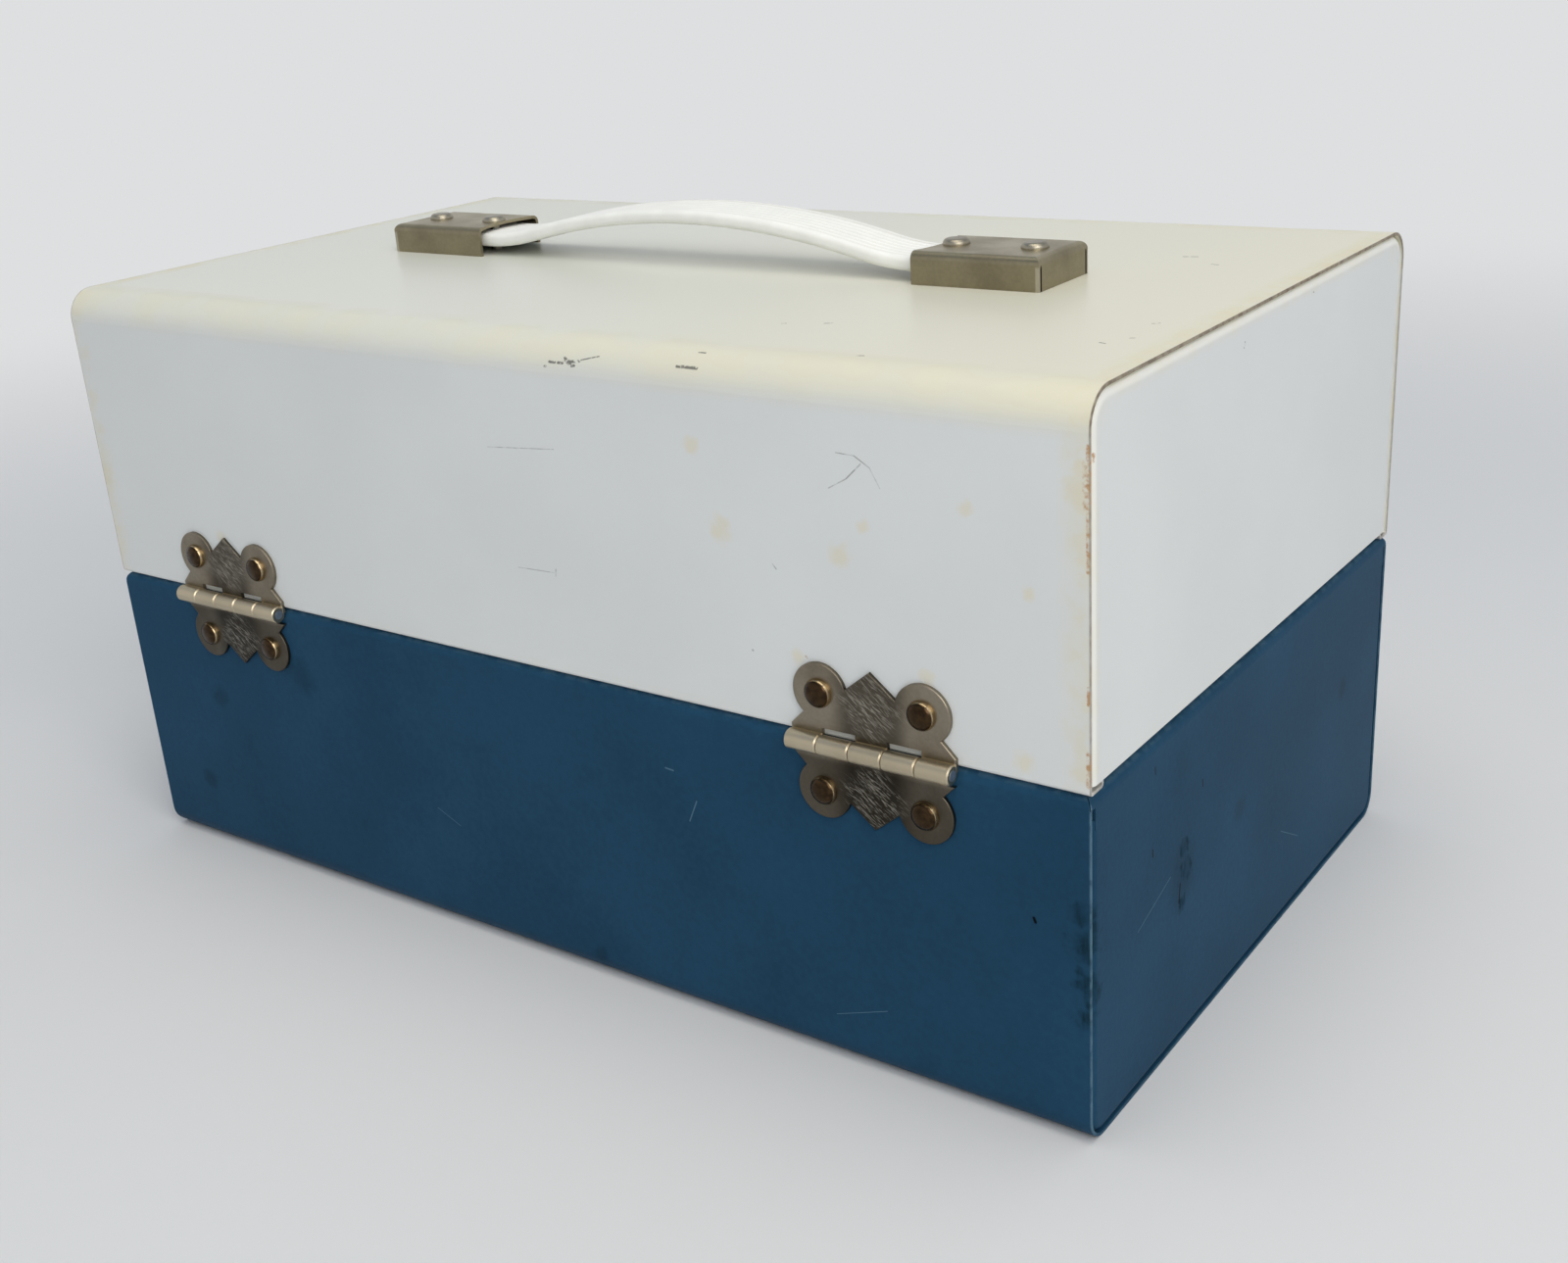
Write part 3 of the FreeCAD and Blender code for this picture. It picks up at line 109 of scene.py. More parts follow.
class Surface:
    """A material that is being put together. Each call adds shader nodes and returns their output."""

    def __init__(self, name, metallic=0.0, ior=1.5, specular=0.5):
        self.material = bpy.data.materials.new(name)
        self.material.use_nodes = True
        self.tree = self.material.node_tree
        self.shader = self.tree.nodes["Principled BSDF"]
        self.shader.inputs["Metallic"].default_value = metallic
        self.shader.inputs["IOR"].default_value = ior
        self.shader.inputs["Specular IOR Level"].default_value = specular
        self.place = self.add("ShaderNodeTexCoord").outputs["Object"]
        parts = self.add("ShaderNodeSeparateXYZ", {0: self.place}).outputs
        self.x, self.y, self.z = parts[0], parts[1], parts[2]

    def feed(self, socket, value):
        if isinstance(value, bpy.types.NodeSocket):
            self.tree.links.new(value, socket)
        else:
            socket.default_value = value

    def add(self, kind, inputs=None, **settings):
        node = self.tree.nodes.new(kind)
        for name, value in settings.items():
            setattr(node, name, value)
        for key, value in (inputs or {}).items():
            self.feed(node.inputs[key], value)
        return node

    def math(self, operation, first, second=0.0):
        return self.add("ShaderNodeMath", {0: first, 1: second}, operation=operation).outputs[0]

    def times(self, *factors):
        product = factors[0]
        for factor in factors[1:]:
            product = self.math("MULTIPLY", product, factor)
        return product

    def most(self, *masks):
        highest = masks[0]
        for mask in masks[1:]:
            highest = self.math("MAXIMUM", highest, mask)
        return highest

    def away(self, value, middle=0.0):
        """How far a value is from a middle, on either side."""
        return self.math("ABSOLUTE", self.math("SUBTRACT", value, middle))

    def span(self, first, second):
        """The length of the hypotenuse over two sides."""
        return self.math("SQRT", self.math("ADD", self.times(first, first), self.times(second, second)))

    def wrap_depth(self, level, bend):
        """How deep a point lies inside the sheet round the case: level is its depth under the flat face
        that the bends run into."""
        aside = self.math("SUBTRACT", HALF_WIDTH, self.math("ABSOLUTE", self.y))
        corner = [self.math("MAXIMUM", self.math("SUBTRACT", bend, part), 0.0) for part in (aside, level)]
        return self.math("SUBTRACT", bend, self.span(*corner))

    def step(self, value, low, high, start=0.0, end=1.0):
        """A smooth change from start to end as value goes from low to high."""
        inputs = {"Value": value, "From Min": low, "From Max": high, "To Min": start, "To Max": end}
        return self.add("ShaderNodeMapRange", inputs, interpolation_type="SMOOTHSTEP").outputs["Result"]

    def stretched(self, scale=(1, 1, 1), turn=(0, 0, 0)):
        inputs = {"Vector": self.place, "Scale": scale, "Rotation": [math.radians(part) for part in turn]}
        return self.add("ShaderNodeMapping", inputs, vector_type="TEXTURE").outputs[0]

    def noise(self, size, detail=3.0, where=None):
        """Cloudy noise whose features are about the given size, in metres."""
        inputs = {"Vector": self.place if where is None else where, "Scale": 1 / size, "Detail": detail}
        return self.add("ShaderNodeTexNoise", inputs).outputs["Fac"]

    def vary(self, noise, start, end):
        """A value that follows cloudy noise from start to end."""
        return self.step(noise, NOISE_LOW, NOISE_HIGH, start, end)

    def specks(self, spacing, radius, share):
        """Small dots, in about the given share of the cells of a loose grid."""
        cells = self.add("ShaderNodeTexVoronoi", {"Vector": self.place, "Scale": 1 / spacing})
        chosen = self.add("ShaderNodeSeparateColor", {0: cells.outputs["Color"]}).outputs[0]
        size = self.step(chosen, 1 - share, 1.0, 0.0, radius / spacing)
        return self.math("LESS_THAN", cells.outputs["Distance"], size)

    def vector(self, operation, first, second, output=0):
        inputs = {0: first, 1: second}
        return self.add("ShaderNodeVectorMath", inputs, operation=operation).outputs[output]

    def spots(self, places, grain, ragged=0.6):
        """Soft patches round points, given with their radii in millimetres, with uneven edges."""
        uneven = self.math("SUBTRACT", self.noise(grain), 0.5)
        masks = []
        for centre, radius in places:
            distance = self.vector("DISTANCE", self.place, centre, "Value")
            wobble = self.math("MULTIPLY", uneven, 2 * ragged * radius * MM)
            masks.append(self.step(self.math("ADD", distance, wobble), radius * MM, 0.2 * radius * MM))
        return self.most(*masks)

    def strokes(self, lines):
        """Thin lines from point to point with soft edges, given with their widths in millimetres."""
        masks = []
        for start, end, width in lines:
            run = end - start
            offset = self.vector("SUBTRACT", self.place, start)
            share = self.vector("DOT_PRODUCT", offset, run / run.length_squared, "Value")
            near = self.add("ShaderNodeClamp", {0: share}).outputs[0]
            along = self.add("ShaderNodeVectorMath", {0: run, "Scale": near}, operation="SCALE").outputs[0]
            distance = self.vector("DISTANCE", offset, along, "Value")
            masks.append(self.step(distance, width * MM / 2, width * MM / 6))
        return self.most(*masks)

    def mix(self, factor, first, second):
        inputs = {0: factor, 6: linear(first) if isinstance(first, tuple) else first,
                  7: linear(second) if isinstance(second, tuple) else second}
        return self.add("ShaderNodeMix", inputs, data_type="RGBA").outputs[2]

    def shade(self, colour, factor):
        """A colour made lighter or darker by a factor."""
        grey = self.add("ShaderNodeCombineColor", {0: factor, 1: factor, 2: factor}).outputs[0]
        inputs = {0: 1.0, 6: linear(colour) if isinstance(colour, tuple) else colour, 7: grey}
        return self.add("ShaderNodeMix", inputs, data_type="RGBA", blend_type="MULTIPLY").outputs[2]

    def finish(self, colour, roughness, height=None, depth=0.05 * MM):
        self.feed(self.shader.inputs["Base Color"], colour)
        self.feed(self.shader.inputs["Roughness"], roughness)
        if height is not None:
            bump = self.add("ShaderNodeBump", {"Height": height, "Distance": depth})
            self.feed(self.shader.inputs["Normal"], bump.outputs[0])
        return self.material


def on_back(x, z):
    """A point on the back wall, given in millimetres."""
    return Vector((x * MM, HALF_WIDTH, z * MM))


def on_top(x, y):
    """A point on the top of the lid, given in millimetres."""
    return Vector((x * MM, y * MM, LID_TOP))


def on_left_end(y, z):
    """A point on the left end, given in millimetres."""
    return Vector((-HALF_LENGTH, y * MM, z * MM))


def on_bend(x, angle):
    """A point on the bend from the back wall, at 0 degrees, to the top of the lid, at 90 degrees."""
    turn = math.radians(angle)
    inward = LID_BEND * (1 - math.cos(turn))
    down = LID_BEND * (1 - math.sin(turn))
    return Vector((x * MM, HALF_WIDTH - inward, LID_TOP - down))


# Wear seen on the lid: yellow patches, dark scratches and chips
LID_STAINS = (
    (on_back(-78, 145), 5), (on_back(-113, 143.5), 4.5), (on_back(-147.5, 159.5), 3),
    (on_back(-120, 151.5), 2.5), (on_back(-71, 165.5), 3.5), (on_back(-163, 142), 2.5),
    (on_back(-161, 100.5), 3.5), (on_back(-99, 115), 3), (on_back(-136, 116.5), 3), (on_back(122, 115), 3),
    (on_back(-175, 166.5), 5), (on_back(-176.5, 172), 4), (on_back(-176.5, 101), 5),
)
LID_SCRATCHES = (
    (on_back(-1, 157.7), on_back(-25, 159.6), 0.28), (on_back(-7, 124.5), on_back(-20, 124.9), 0.3),
    (on_back(-20.5, 124), on_back(-20.8, 126), 0.4), (on_back(-113.5, 168.6), on_back(-118.5, 168.4), 0.35),
    (on_back(-118.5, 168.4), on_back(-122.6, 166), 0.45), (on_back(-122.6, 166), on_back(-125.2, 161.4), 0.3),
    (on_back(-120.2, 166.6), on_back(-116, 162.6), 0.5), (on_back(-116, 162.6), on_back(-111, 159.8), 0.4),
    (on_back(-93.2, 138.4), on_back(-94.2, 137.2), 0.4),
)
LID_CHIPS = (
    (on_bend(-26.5, 19), on_bend(-31, 19), 1.0), (on_bend(-31.5, 26), on_bend(-33.5, 20), 1.7),
    (on_bend(-33, 22), on_bend(-36.5, 25), 1.1), (on_bend(-34, 16), on_bend(-35, 17), 1.0),
    (on_bend(-37, 27), on_bend(-42.5, 36), 0.5), (on_bend(-25, 11), on_bend(-25.4, 11), 0.9),
    (on_bend(-67.5, 33), on_bend(-73.5, 33), 1.2), (on_bend(-72, 62), on_bend(-74, 62), 0.6),
    (on_top(-86, 63.5), on_top(-88, 62.7), 0.8), (on_top(-113.6, 90.6), on_top(-115, 90.2), 0.9),
    (on_top(-163, 38.5), on_top(-164.5, 37.5), 0.8), (on_top(-164.5, 54.2), on_top(-165.6, 53.8), 0.7),
    (on_top(-135, -43), on_top(-138.8, -43.8), 0.9), (on_top(-147, -34.5), on_top(-148.8, -34.2), 0.9),
    (on_top(-160, 60.5), on_top(-161.6, 61), 0.7), (on_top(-75.4, 67), on_top(-76.4, 66.6), 0.7),
    (on_top(92, -52), on_top(96, -51), 0.7), (on_top(38, -74), on_top(40, -75), 0.8),
    (on_left_end(18, 181), on_left_end(18.6, 179.8), 0.7),
    (on_left_end(-27, 184.6), on_left_end(-28, 184.2), 0.7),
)
# Rust down the near end of the back wall: the heights of its ends, and its width
RUSTY_RUNS = ((177, 149, 1.6), (173, 164, 4.2), (122, 118, 1.4), (106, 98, 2.2))
RUSTY_EDGE = -HALF_LENGTH + 0.4 * MM
LID_RUST = tuple(
    (Vector((RUSTY_EDGE, HALF_WIDTH, top * MM)), Vector((RUSTY_EDGE, HALF_WIDTH, bottom * MM)), width)
    for top, bottom, width in RUSTY_RUNS
) + (
    (on_left_end(99.4, 174.6), on_left_end(99.4, 173.2), 2.0),
    (on_back(-101.4, 115.6), on_back(-101.7, 115.4), 1.4),
)


def white_enamel():
    """Old white stove enamel, yellowed on top and at its bends, rusty where the sheet was cut, with painted
    warm light on the top, a painted highlight on the end pans' bends and painted shade in the dark edge line.
    """
    paint = Surface("white_enamel")
    along = paint.math("ABSOLUTE", paint.x)
    level = paint.math("SUBTRACT", LID_TOP, paint.z)
    aside = paint.math("SUBTRACT", HALF_WIDTH, paint.math("ABSOLUTE", paint.y))
    depth = paint.wrap_depth(level, LID_BEND)
    cloud = paint.noise(16 * MM, 4.0)
    mottle = paint.noise(2.4 * MM, 4.0)
    colour = paint.shade(WHITE, paint.vary(paint.noise(60 * MM, 2.0), 0.975, 1.015))
    # The top is tinted warmer than the walls, partly yellowing and partly painted warm light, and warmer
    # still towards the near end as painted warm light
    upper = paint.times(paint.step(level, 12 * MM, 2 * MM), paint.step(depth, 2 * MM, 1 * MM))
    colour = paint.mix(paint.times(upper, 0.8), colour, TOP_YELLOW_AND_WARM_LIGHT)
    painted_warm_light = paint.times(upper, paint.step(paint.x, 60 * MM, -HALF_LENGTH, 0.0, 0.5))
    colour = paint.mix(painted_warm_light, colour, CREAM)
    # Cream along the top bends, the wrap's ends, the lower rim and the rims of the end pans
    bend = paint.times(paint.step(aside, 18 * MM, 5 * MM), paint.step(level, 12 * MM, 4 * MM))
    ends = paint.times(paint.step(along, HALF_LENGTH - 9 * MM, HALF_LENGTH - 1 * MM, 0.0, 0.9),
                       paint.step(depth, 6 * MM, 1 * MM))
    rim = paint.step(paint.z, LID_BOTTOM + 6 * MM, LID_BOTTOM, 0.0, 0.3)
    worn = paint.times(paint.most(bend, ends, rim), paint.step(cloud, 0.34, 0.66, 0.15, 1.0))
    colour = paint.mix(paint.times(worn, 0.36), colour, CREAM)
    grubby = paint.times(ends, paint.step(paint.noise(5 * MM, 4.0), 0.4, 0.66, 0.1, 1.0))
    patches = paint.most(paint.spots(LID_STAINS, 3 * MM), grubby)
    colour = paint.mix(paint.times(patches, 0.36), colour, STAIN)
    # A painted highlight on the bends of the end pans, near the ends of the lid
    bend_highlight = paint.times(paint.step(along, HALF_LENGTH - 4 * MM, HALF_LENGTH - 2 * MM),
                           paint.step(depth, 4 * MM, 2.5 * MM), paint.step(depth, SHEET, 1.2 * MM))
    colour = paint.mix(paint.times(bend_highlight, 0.6), colour, HIGHLIGHT_WHITE)
    # Dark scratches, chips down to the steel and specks
    lines = paint.strokes(LID_SCRATCHES)
    faint = paint.step(paint.noise(2.6 * MM, 2.0), 0.35, 0.6, 0.2, 0.6)
    colour = paint.mix(paint.times(lines, faint), colour, BARE_STEEL)
    broken = paint.step(paint.noise(1.1 * MM, 2.0), 0.36, 0.5)
    chips = paint.times(paint.strokes(LID_CHIPS), broken)
    specks = paint.specks(17 * MM, 0.45 * MM, 0.07)
    bare = paint.most(chips, paint.times(specks, 0.5))
    colour = paint.mix(paint.times(bare, 0.85), colour, BARE_STEEL)
    # Rust on the raw ends of the wrapped sheet, with painted shade deepening it along the top and inside the
    # hem, and rust creeping over the paint in a few places
    raw = paint.times(paint.step(along, HALF_LENGTH - 0.35 * MM, HALF_LENGTH - 0.05 * MM),
                      paint.step(depth, SHEET + 0.1 * MM, SHEET))
    hem = paint.times(paint.step(along, HALF_LENGTH - 2 * MM, HALF_LENGTH - 0.5 * MM),
                      paint.step(paint.z, LID_BOTTOM + 1.8 * MM, LID_BOTTOM + 1.2 * MM),
                      paint.step(aside, SHEET, 2 * SHEET))
    # The dark line is rust, plus painted shade inside the hem and deeper along the top edge
    edges = paint.times(paint.most(raw, hem), paint.vary(mottle, 0.65, 0.9),
                        paint.step(level, 4 * MM, 16 * MM, 1.0, 0.7))
    colour = paint.mix(edges, colour, DARK_RUST_AND_SHADE)
    patchy = paint.noise(1.1 * MM, 4.0)
    bloom = paint.step(paint.times(paint.strokes(LID_RUST), patchy, patchy), 0.08, 0.42, 0.0, 0.9)
    colour = paint.mix(bloom, colour, RUST)
    roughness = paint.step(paint.most(edges, bloom, bare, worn), 0.0, 1.0, 0.32, 0.58)
    return paint.finish(colour, roughness, paint.noise(1.4 * MM, 2.0), 0.02 * MM)


# Soft smears, dark scuffs, nicks and pale scratches seen on the base
BASE_SMEARS = (
    (on_back(94, 73), 8), (on_back(99, 76), 6), (on_back(138, 57), 6), (on_back(153, 24), 5),
    (on_back(-21, 7), 4), (on_left_end(12, 52), 5), (on_left_end(-67, 57), 5), (on_left_end(49, 50), 11),
)
BASE_SCUFFS = (
    (on_back(-176, 64), 5), (on_back(-177, 56), 6), (on_back(-177, 46), 5.5), (on_back(-177, 36), 4.5),
    (on_left_end(49, 58), 5), (on_left_end(48, 51), 6), (on_left_end(50, 42), 4), (on_left_end(100, 60), 4),
    (on_left_end(100, 41), 5),
)
BASE_NICKS = (
    (on_left_end(38, 72), on_left_end(37.7, 70), 0.7), (on_left_end(68, 66), on_left_end(67.8, 64), 0.8),
    (on_left_end(67, 88), on_left_end(66.8, 86), 0.7), (on_left_end(51, 48), on_left_end(51.6, 43), 1.0),
    (on_back(-163, 60), on_back(-163.4, 59), 1.2),
)
BASE_SCRATCHES = (
    (on_back(-62.4, 66.7), on_back(-59.4, 60.1), 0.55), (on_back(-52.6, 74.4), on_back(-55.2, 74.2), 0.7),
    (on_back(-120, 20), on_back(-104, 14), 0.3), (on_back(40, 40), on_back(31, 36), 0.3),
    (on_left_end(76, 47), on_left_end(57, 53), 0.4), (on_left_end(-20, 30), on_left_end(-34, 22), 0.35),
)


def blue_enamel():
    """Deep blue enamel with sooty scuffs, pale scratches and slightly rubbed edges, whose pale lines are
    partly painted highlight.
    """
    paint = Surface("blue_enamel", specular=0.03)
    along = paint.math("ABSOLUTE", paint.x)
    depth = paint.wrap_depth(paint.z, BASE_BEND)
    mottle = paint.noise(3 * MM, 4.0)
    streaks = paint.noise(2.2 * MM, 4.0, paint.stretched((1, 1, 4)))
    colour = paint.shade(BLUE, paint.vary(paint.noise(45 * MM, 3.0), 0.9, 1.08))
    colour = paint.shade(colour, paint.vary(paint.noise(1.6 * MM, 2.0), 0.95, 1.05))
    scuffs = paint.times(paint.spots(BASE_SCUFFS, 2.5 * MM, 0.9), paint.step(streaks, 0.34, 0.66, 0.3, 1.0))
    cloudy = paint.step(paint.noise(30 * MM, 5.0), 0.63, 0.78, 0.0, 0.25)
    smears = paint.times(paint.spots(BASE_SMEARS, 6 * MM, 0.5), 0.4)
    colour = paint.mix(paint.times(paint.most(scuffs, smears, cloudy), 0.75), colour, SOOT)
    nicks = paint.strokes(BASE_NICKS)
    colour = paint.mix(nicks, colour, NICK)
    lines = paint.strokes(BASE_SCRATCHES)
    # Paler cut ends: rubbed paint and a painted highlight, fainter near the floor as painted shade
    raw = paint.times(paint.step(along, HALF_LENGTH - 0.5 * MM, HALF_LENGTH - 0.05 * MM),
                      paint.step(depth, SHEET + 0.1 * MM, SHEET))
    rubbed = paint.times(raw, paint.step(mottle, 0.36, 0.6, 0.3, 0.8),
                         paint.step(paint.z, 0.0, BASE_BEND, 0.4, 1.0))
    # A paler line along the top rim: rubbed paint and a painted highlight
    fold_wear_and_highlight = paint.times(paint.step(paint.z, BASE_TOP - 1.5 * MM, BASE_TOP - 0.4 * MM),
                       paint.step(mottle, 0.4, 0.62, 0.05, 0.35))
    colour = paint.mix(paint.most(paint.times(lines, 0.7), rubbed, fold_wear_and_highlight), colour, WORN_BLUE)
    roughness = paint.step(paint.most(scuffs, lines), 0.0, 1.0, 0.42, 0.62)
    return paint.finish(colour, roughness, paint.noise(1.2 * MM, 2.0), 0.02 * MM)


def nickel(name, tone, dullness, roughness):
    """Aged nickel plate: warm grey, a little cloudy, with fine pits."""
    metal = Surface(name, metallic=1.0)
    cloud = metal.noise(14 * MM, 4.0)
    fine = metal.noise(0.9 * MM, 3.0)
    pits = metal.specks(2.4 * MM, 0.2 * MM, 0.1)
    colour = metal.mix(metal.step(cloud, 0.36, 0.7, 0.0, dullness), tone, DULL_NICKEL)
    colour = metal.shade(colour, metal.vary(fine, 0.95, 1.04))
    colour = metal.mix(metal.times(pits, 0.4), colour, TARNISH)
    return metal, colour, metal.vary(cloud, roughness - 0.05, roughness + 0.06), fine


def plain_nickel(name, tone):
    """Nickel plate without scratches: darker below the caps' tops as painted shade, dark in their corner
    seams, with a painted highlight beside them.
    """
    metal, colour, roughness, fine = nickel(name, tone, 0.3, 0.36)
    low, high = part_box("handle_cap_left")
    # Everything below the caps' tops is painted darker, as shade on their sides
    colour = metal.shade(colour, metal.step(metal.z, high.z - 1 * MM, high.z - 0.3 * MM, 0.74, 1.0))
    aside = metal.math("SUBTRACT", high.y, metal.math("ABSOLUTE", metal.y))
    corner = metal.times(metal.step(metal.math("ABSOLUTE", metal.x), -low.x - 1.2 * MM, -low.x - 1.0 * MM),
                         metal.step(metal.z, high.z - 2 * MM, high.z - 3 * MM))
    seam = metal.times(corner, metal.step(metal.away(aside, 1.1 * MM), 0.6 * MM, 0.3 * MM))
    # A painted highlight along the edge of the corner seams
    edge = metal.times(corner, metal.step(aside, 0.6 * MM, 0.4 * MM))
    colour = metal.mix(metal.times(edge, 0.45), colour, BRIGHT_NICKEL)
    colour = metal.mix(metal.times(seam, 0.9), colour, TARNISH)
    return metal.finish(colour, roughness, fine, 0.006 * MM)


def hinge_nickel():
    """The hinges' plate: slanting scratches, dark in the middle and below, with a painted reflection on the
    barrel.
    """
    metal, colour, roughness, fine = nickel("hinge_nickel", HINGE_NICKEL, 0.55, 0.38)
    low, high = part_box("left_hinge_lid_leaf")
    middle = abs(low.x + high.x) / 2
    reach = (high.z - low.z) / 2
    aside = metal.away(metal.math("ABSOLUTE", metal.x), middle)
    above = metal.away(metal.away(metal.z, HINGE_Z), reach)
    ragged = metal.times(metal.noise(3 * MM), 8 * MM)
    rubbed = metal.step(metal.math("ADD", metal.math("ADD", aside, above), ragged), 18 * MM, 8 * MM)
    scratches = []
    for angle, length in ((48.0, 14), (64.0, 9)):
        grain = metal.noise(0.26 * MM, 2.0, metal.stretched((1, 1, length), (0, angle, 0)))
        scratches.append(metal.step(grain, 0.56, 0.66))
    scratch = metal.times(metal.most(*scratches), rubbed)
    # A painted reflection that brightens the barrel
    radius = metal.span(metal.math("SUBTRACT", metal.y, HINGE_Y), metal.math("SUBTRACT", metal.z, HINGE_Z))
    barrel_reflection = metal.step(radius, KNUCKLE_RADIUS + 0.4 * MM, KNUCKLE_RADIUS + 0.1 * MM)
    below = metal.step(metal.z, HINGE_Z - KNUCKLE_RADIUS, HINGE_Z - 2 * KNUCKLE_RADIUS, 1.0, 0.38)
    waist = metal.step(aside, 13 * MM, 6 * MM, 1.0, 0.36)
    colour = metal.shade(colour, metal.times(below, waist))
    colour = metal.mix(metal.times(scratch, 0.4), colour, BRIGHT_NICKEL)
    colour = metal.mix(metal.times(barrel_reflection, 0.8), colour, BARREL_REFLECTION)
    return metal.finish(colour, roughness, metal.math("ADD", metal.times(fine, 0.4), scratch), 0.008 * MM)


def rivet_brass():
    """Brass rivets that have gone brown, with a painted highlight round their rims."""
    metal = Surface("rivet_brass", metallic=1.0)
    low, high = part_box("hinge_lid_rivets")
    head = (high.z - low.z) / 2
    hinge_low, hinge_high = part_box("left_hinge_lid_leaf")
    middle = abs(hinge_low.x + hinge_high.x) / 2
    spread = high.x - head - middle
    aside = metal.away(metal.away(metal.math("ABSOLUTE", metal.x), middle), spread)
    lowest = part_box("hinge_base_rivets")[0]
    level = (high.z + lowest.z) / 2
    rise = (high.z + low.z) / 2 - level
    above = metal.away(metal.away(metal.z, level), rise)
    radius = metal.span(aside, above)
    # A painted highlight round the rim of each head
    rim = metal.step(radius, head * 0.87, head * 0.92)
    cloud = metal.noise(1.8 * MM, 3.0)
    colour = metal.mix(metal.step(cloud, 0.34, 0.68, 0.3, 0.8), BRASS, TARNISH)
    colour = metal.mix(metal.times(rim, 0.9), colour, BRASS_RIM_HIGHLIGHT)
    roughness = metal.vary(cloud, 0.16, 0.26)
    dome = metal.math("SUBTRACT", 1.0, metal.times(radius, radius, 1 / head ** 2))
    return metal.finish(colour, roughness, dome, 0.8 * MM)


def brushed_metal(name, tone, size, stretch):
    """Plain steel with a grain that runs along the piece."""
    metal = Surface(name, metallic=1.0)
    cloud = metal.noise(9 * MM, 4.0)
    grain = metal.noise(size, 2.0, metal.stretched(stretch))
    colour = metal.shade(tone, metal.vary(grain, 0.8, 1.1))
    colour = metal.mix(metal.step(cloud, 0.6, 0.8, 0.0, 0.4), colour, DULL_NICKEL)
    return metal.finish(colour, metal.vary(cloud, 0.3, 0.45), grain, 0.01 * MM)


def plastic(name, tone, gloss):
    """Moulded plastic: faint flow marks, a fine grain and a few scuffs."""
    solid = Surface(name, ior=1.49)
    flow = solid.noise(12 * MM, 3.0, solid.stretched((3, 1, 1)))
    grain = solid.noise(0.6 * MM, 2.0)
    scuff = solid.step(solid.noise(0.9 * MM, 2.0, solid.stretched((1, 9, 9), (0, 0, 35))), 0.64, 0.72)
    colour = solid.shade(tone, solid.vary(flow, 0.92, 1.05))
    colour = solid.mix(solid.times(scuff, 0.12), colour, SCUFF)
    return solid.finish(colour, solid.step(scuff, 0.0, 1.0, gloss, gloss + 0.2), grain, 0.02 * MM)


def board_plastic():
    """A pale board with a printed grid round the peg holes."""
    sheet = Surface("board_plastic", ior=1.49)
    cells = 10
    pitch = 14 * MM
    half_grid = cells * pitch / 2
    centre = 84 * MM
    line_half = 0.45 * MM
    solid_half = 0.3 * MM
    across = sheet.math("SUBTRACT", sheet.math("ABSOLUTE", sheet.x), centre)
    lines = []
    for value in (across, sheet.y):
        cell = sheet.math("FRACT", sheet.math("DIVIDE", sheet.math("ADD", value, half_grid), pitch))
        edge = sheet.away(cell, 0.5)
        lines.append(sheet.step(edge, 0.5 - line_half / pitch, 0.5 - solid_half / pitch))
    reach = half_grid + 0.4 * MM
    inside = sheet.times(sheet.math("LESS_THAN", sheet.math("ABSOLUTE", across), reach),
                         sheet.math("LESS_THAN", sheet.math("ABSOLUTE", sheet.y), reach))
    ink = sheet.times(sheet.most(*lines), inside, sheet.step(sheet.noise(0.8 * MM), 0.2, 0.4, 0.6, 1.0))
    grain = sheet.noise(0.7 * MM, 2.0)
    cloud = sheet.noise(30 * MM, 4.0)
    colour = sheet.shade(BOARD, sheet.vary(cloud, 0.94, 1.03))
    colour = sheet.mix(sheet.times(ink, 0.9), colour, PRINT)
    return sheet.finish(colour, sheet.vary(cloud, 0.4, 0.52), grain, 0.02 * MM)


def strap_vinyl():
    """White vinyl, a little grey and yellow in the grooves between the ribs."""
    vinyl = Surface("strap_vinyl")
    groove = vinyl.add("ShaderNodeAttribute", attribute_name="groove").outputs["Fac"]
    cloud = vinyl.noise(9 * MM, 4.0)
    colour = vinyl.shade(VINYL, vinyl.vary(cloud, 0.96, 1.02))
    # Grey-yellow in the grooves between the ribs
    groove_tint = vinyl.times(groove, vinyl.step(cloud, 0.3, 0.65, 0.3, 0.7))
    colour = vinyl.mix(groove_tint, colour, GROOVE_GREY)
    return vinyl.finish(colour, vinyl.vary(cloud, 0.34, 0.44), vinyl.noise(0.8 * MM), 0.015 * MM)


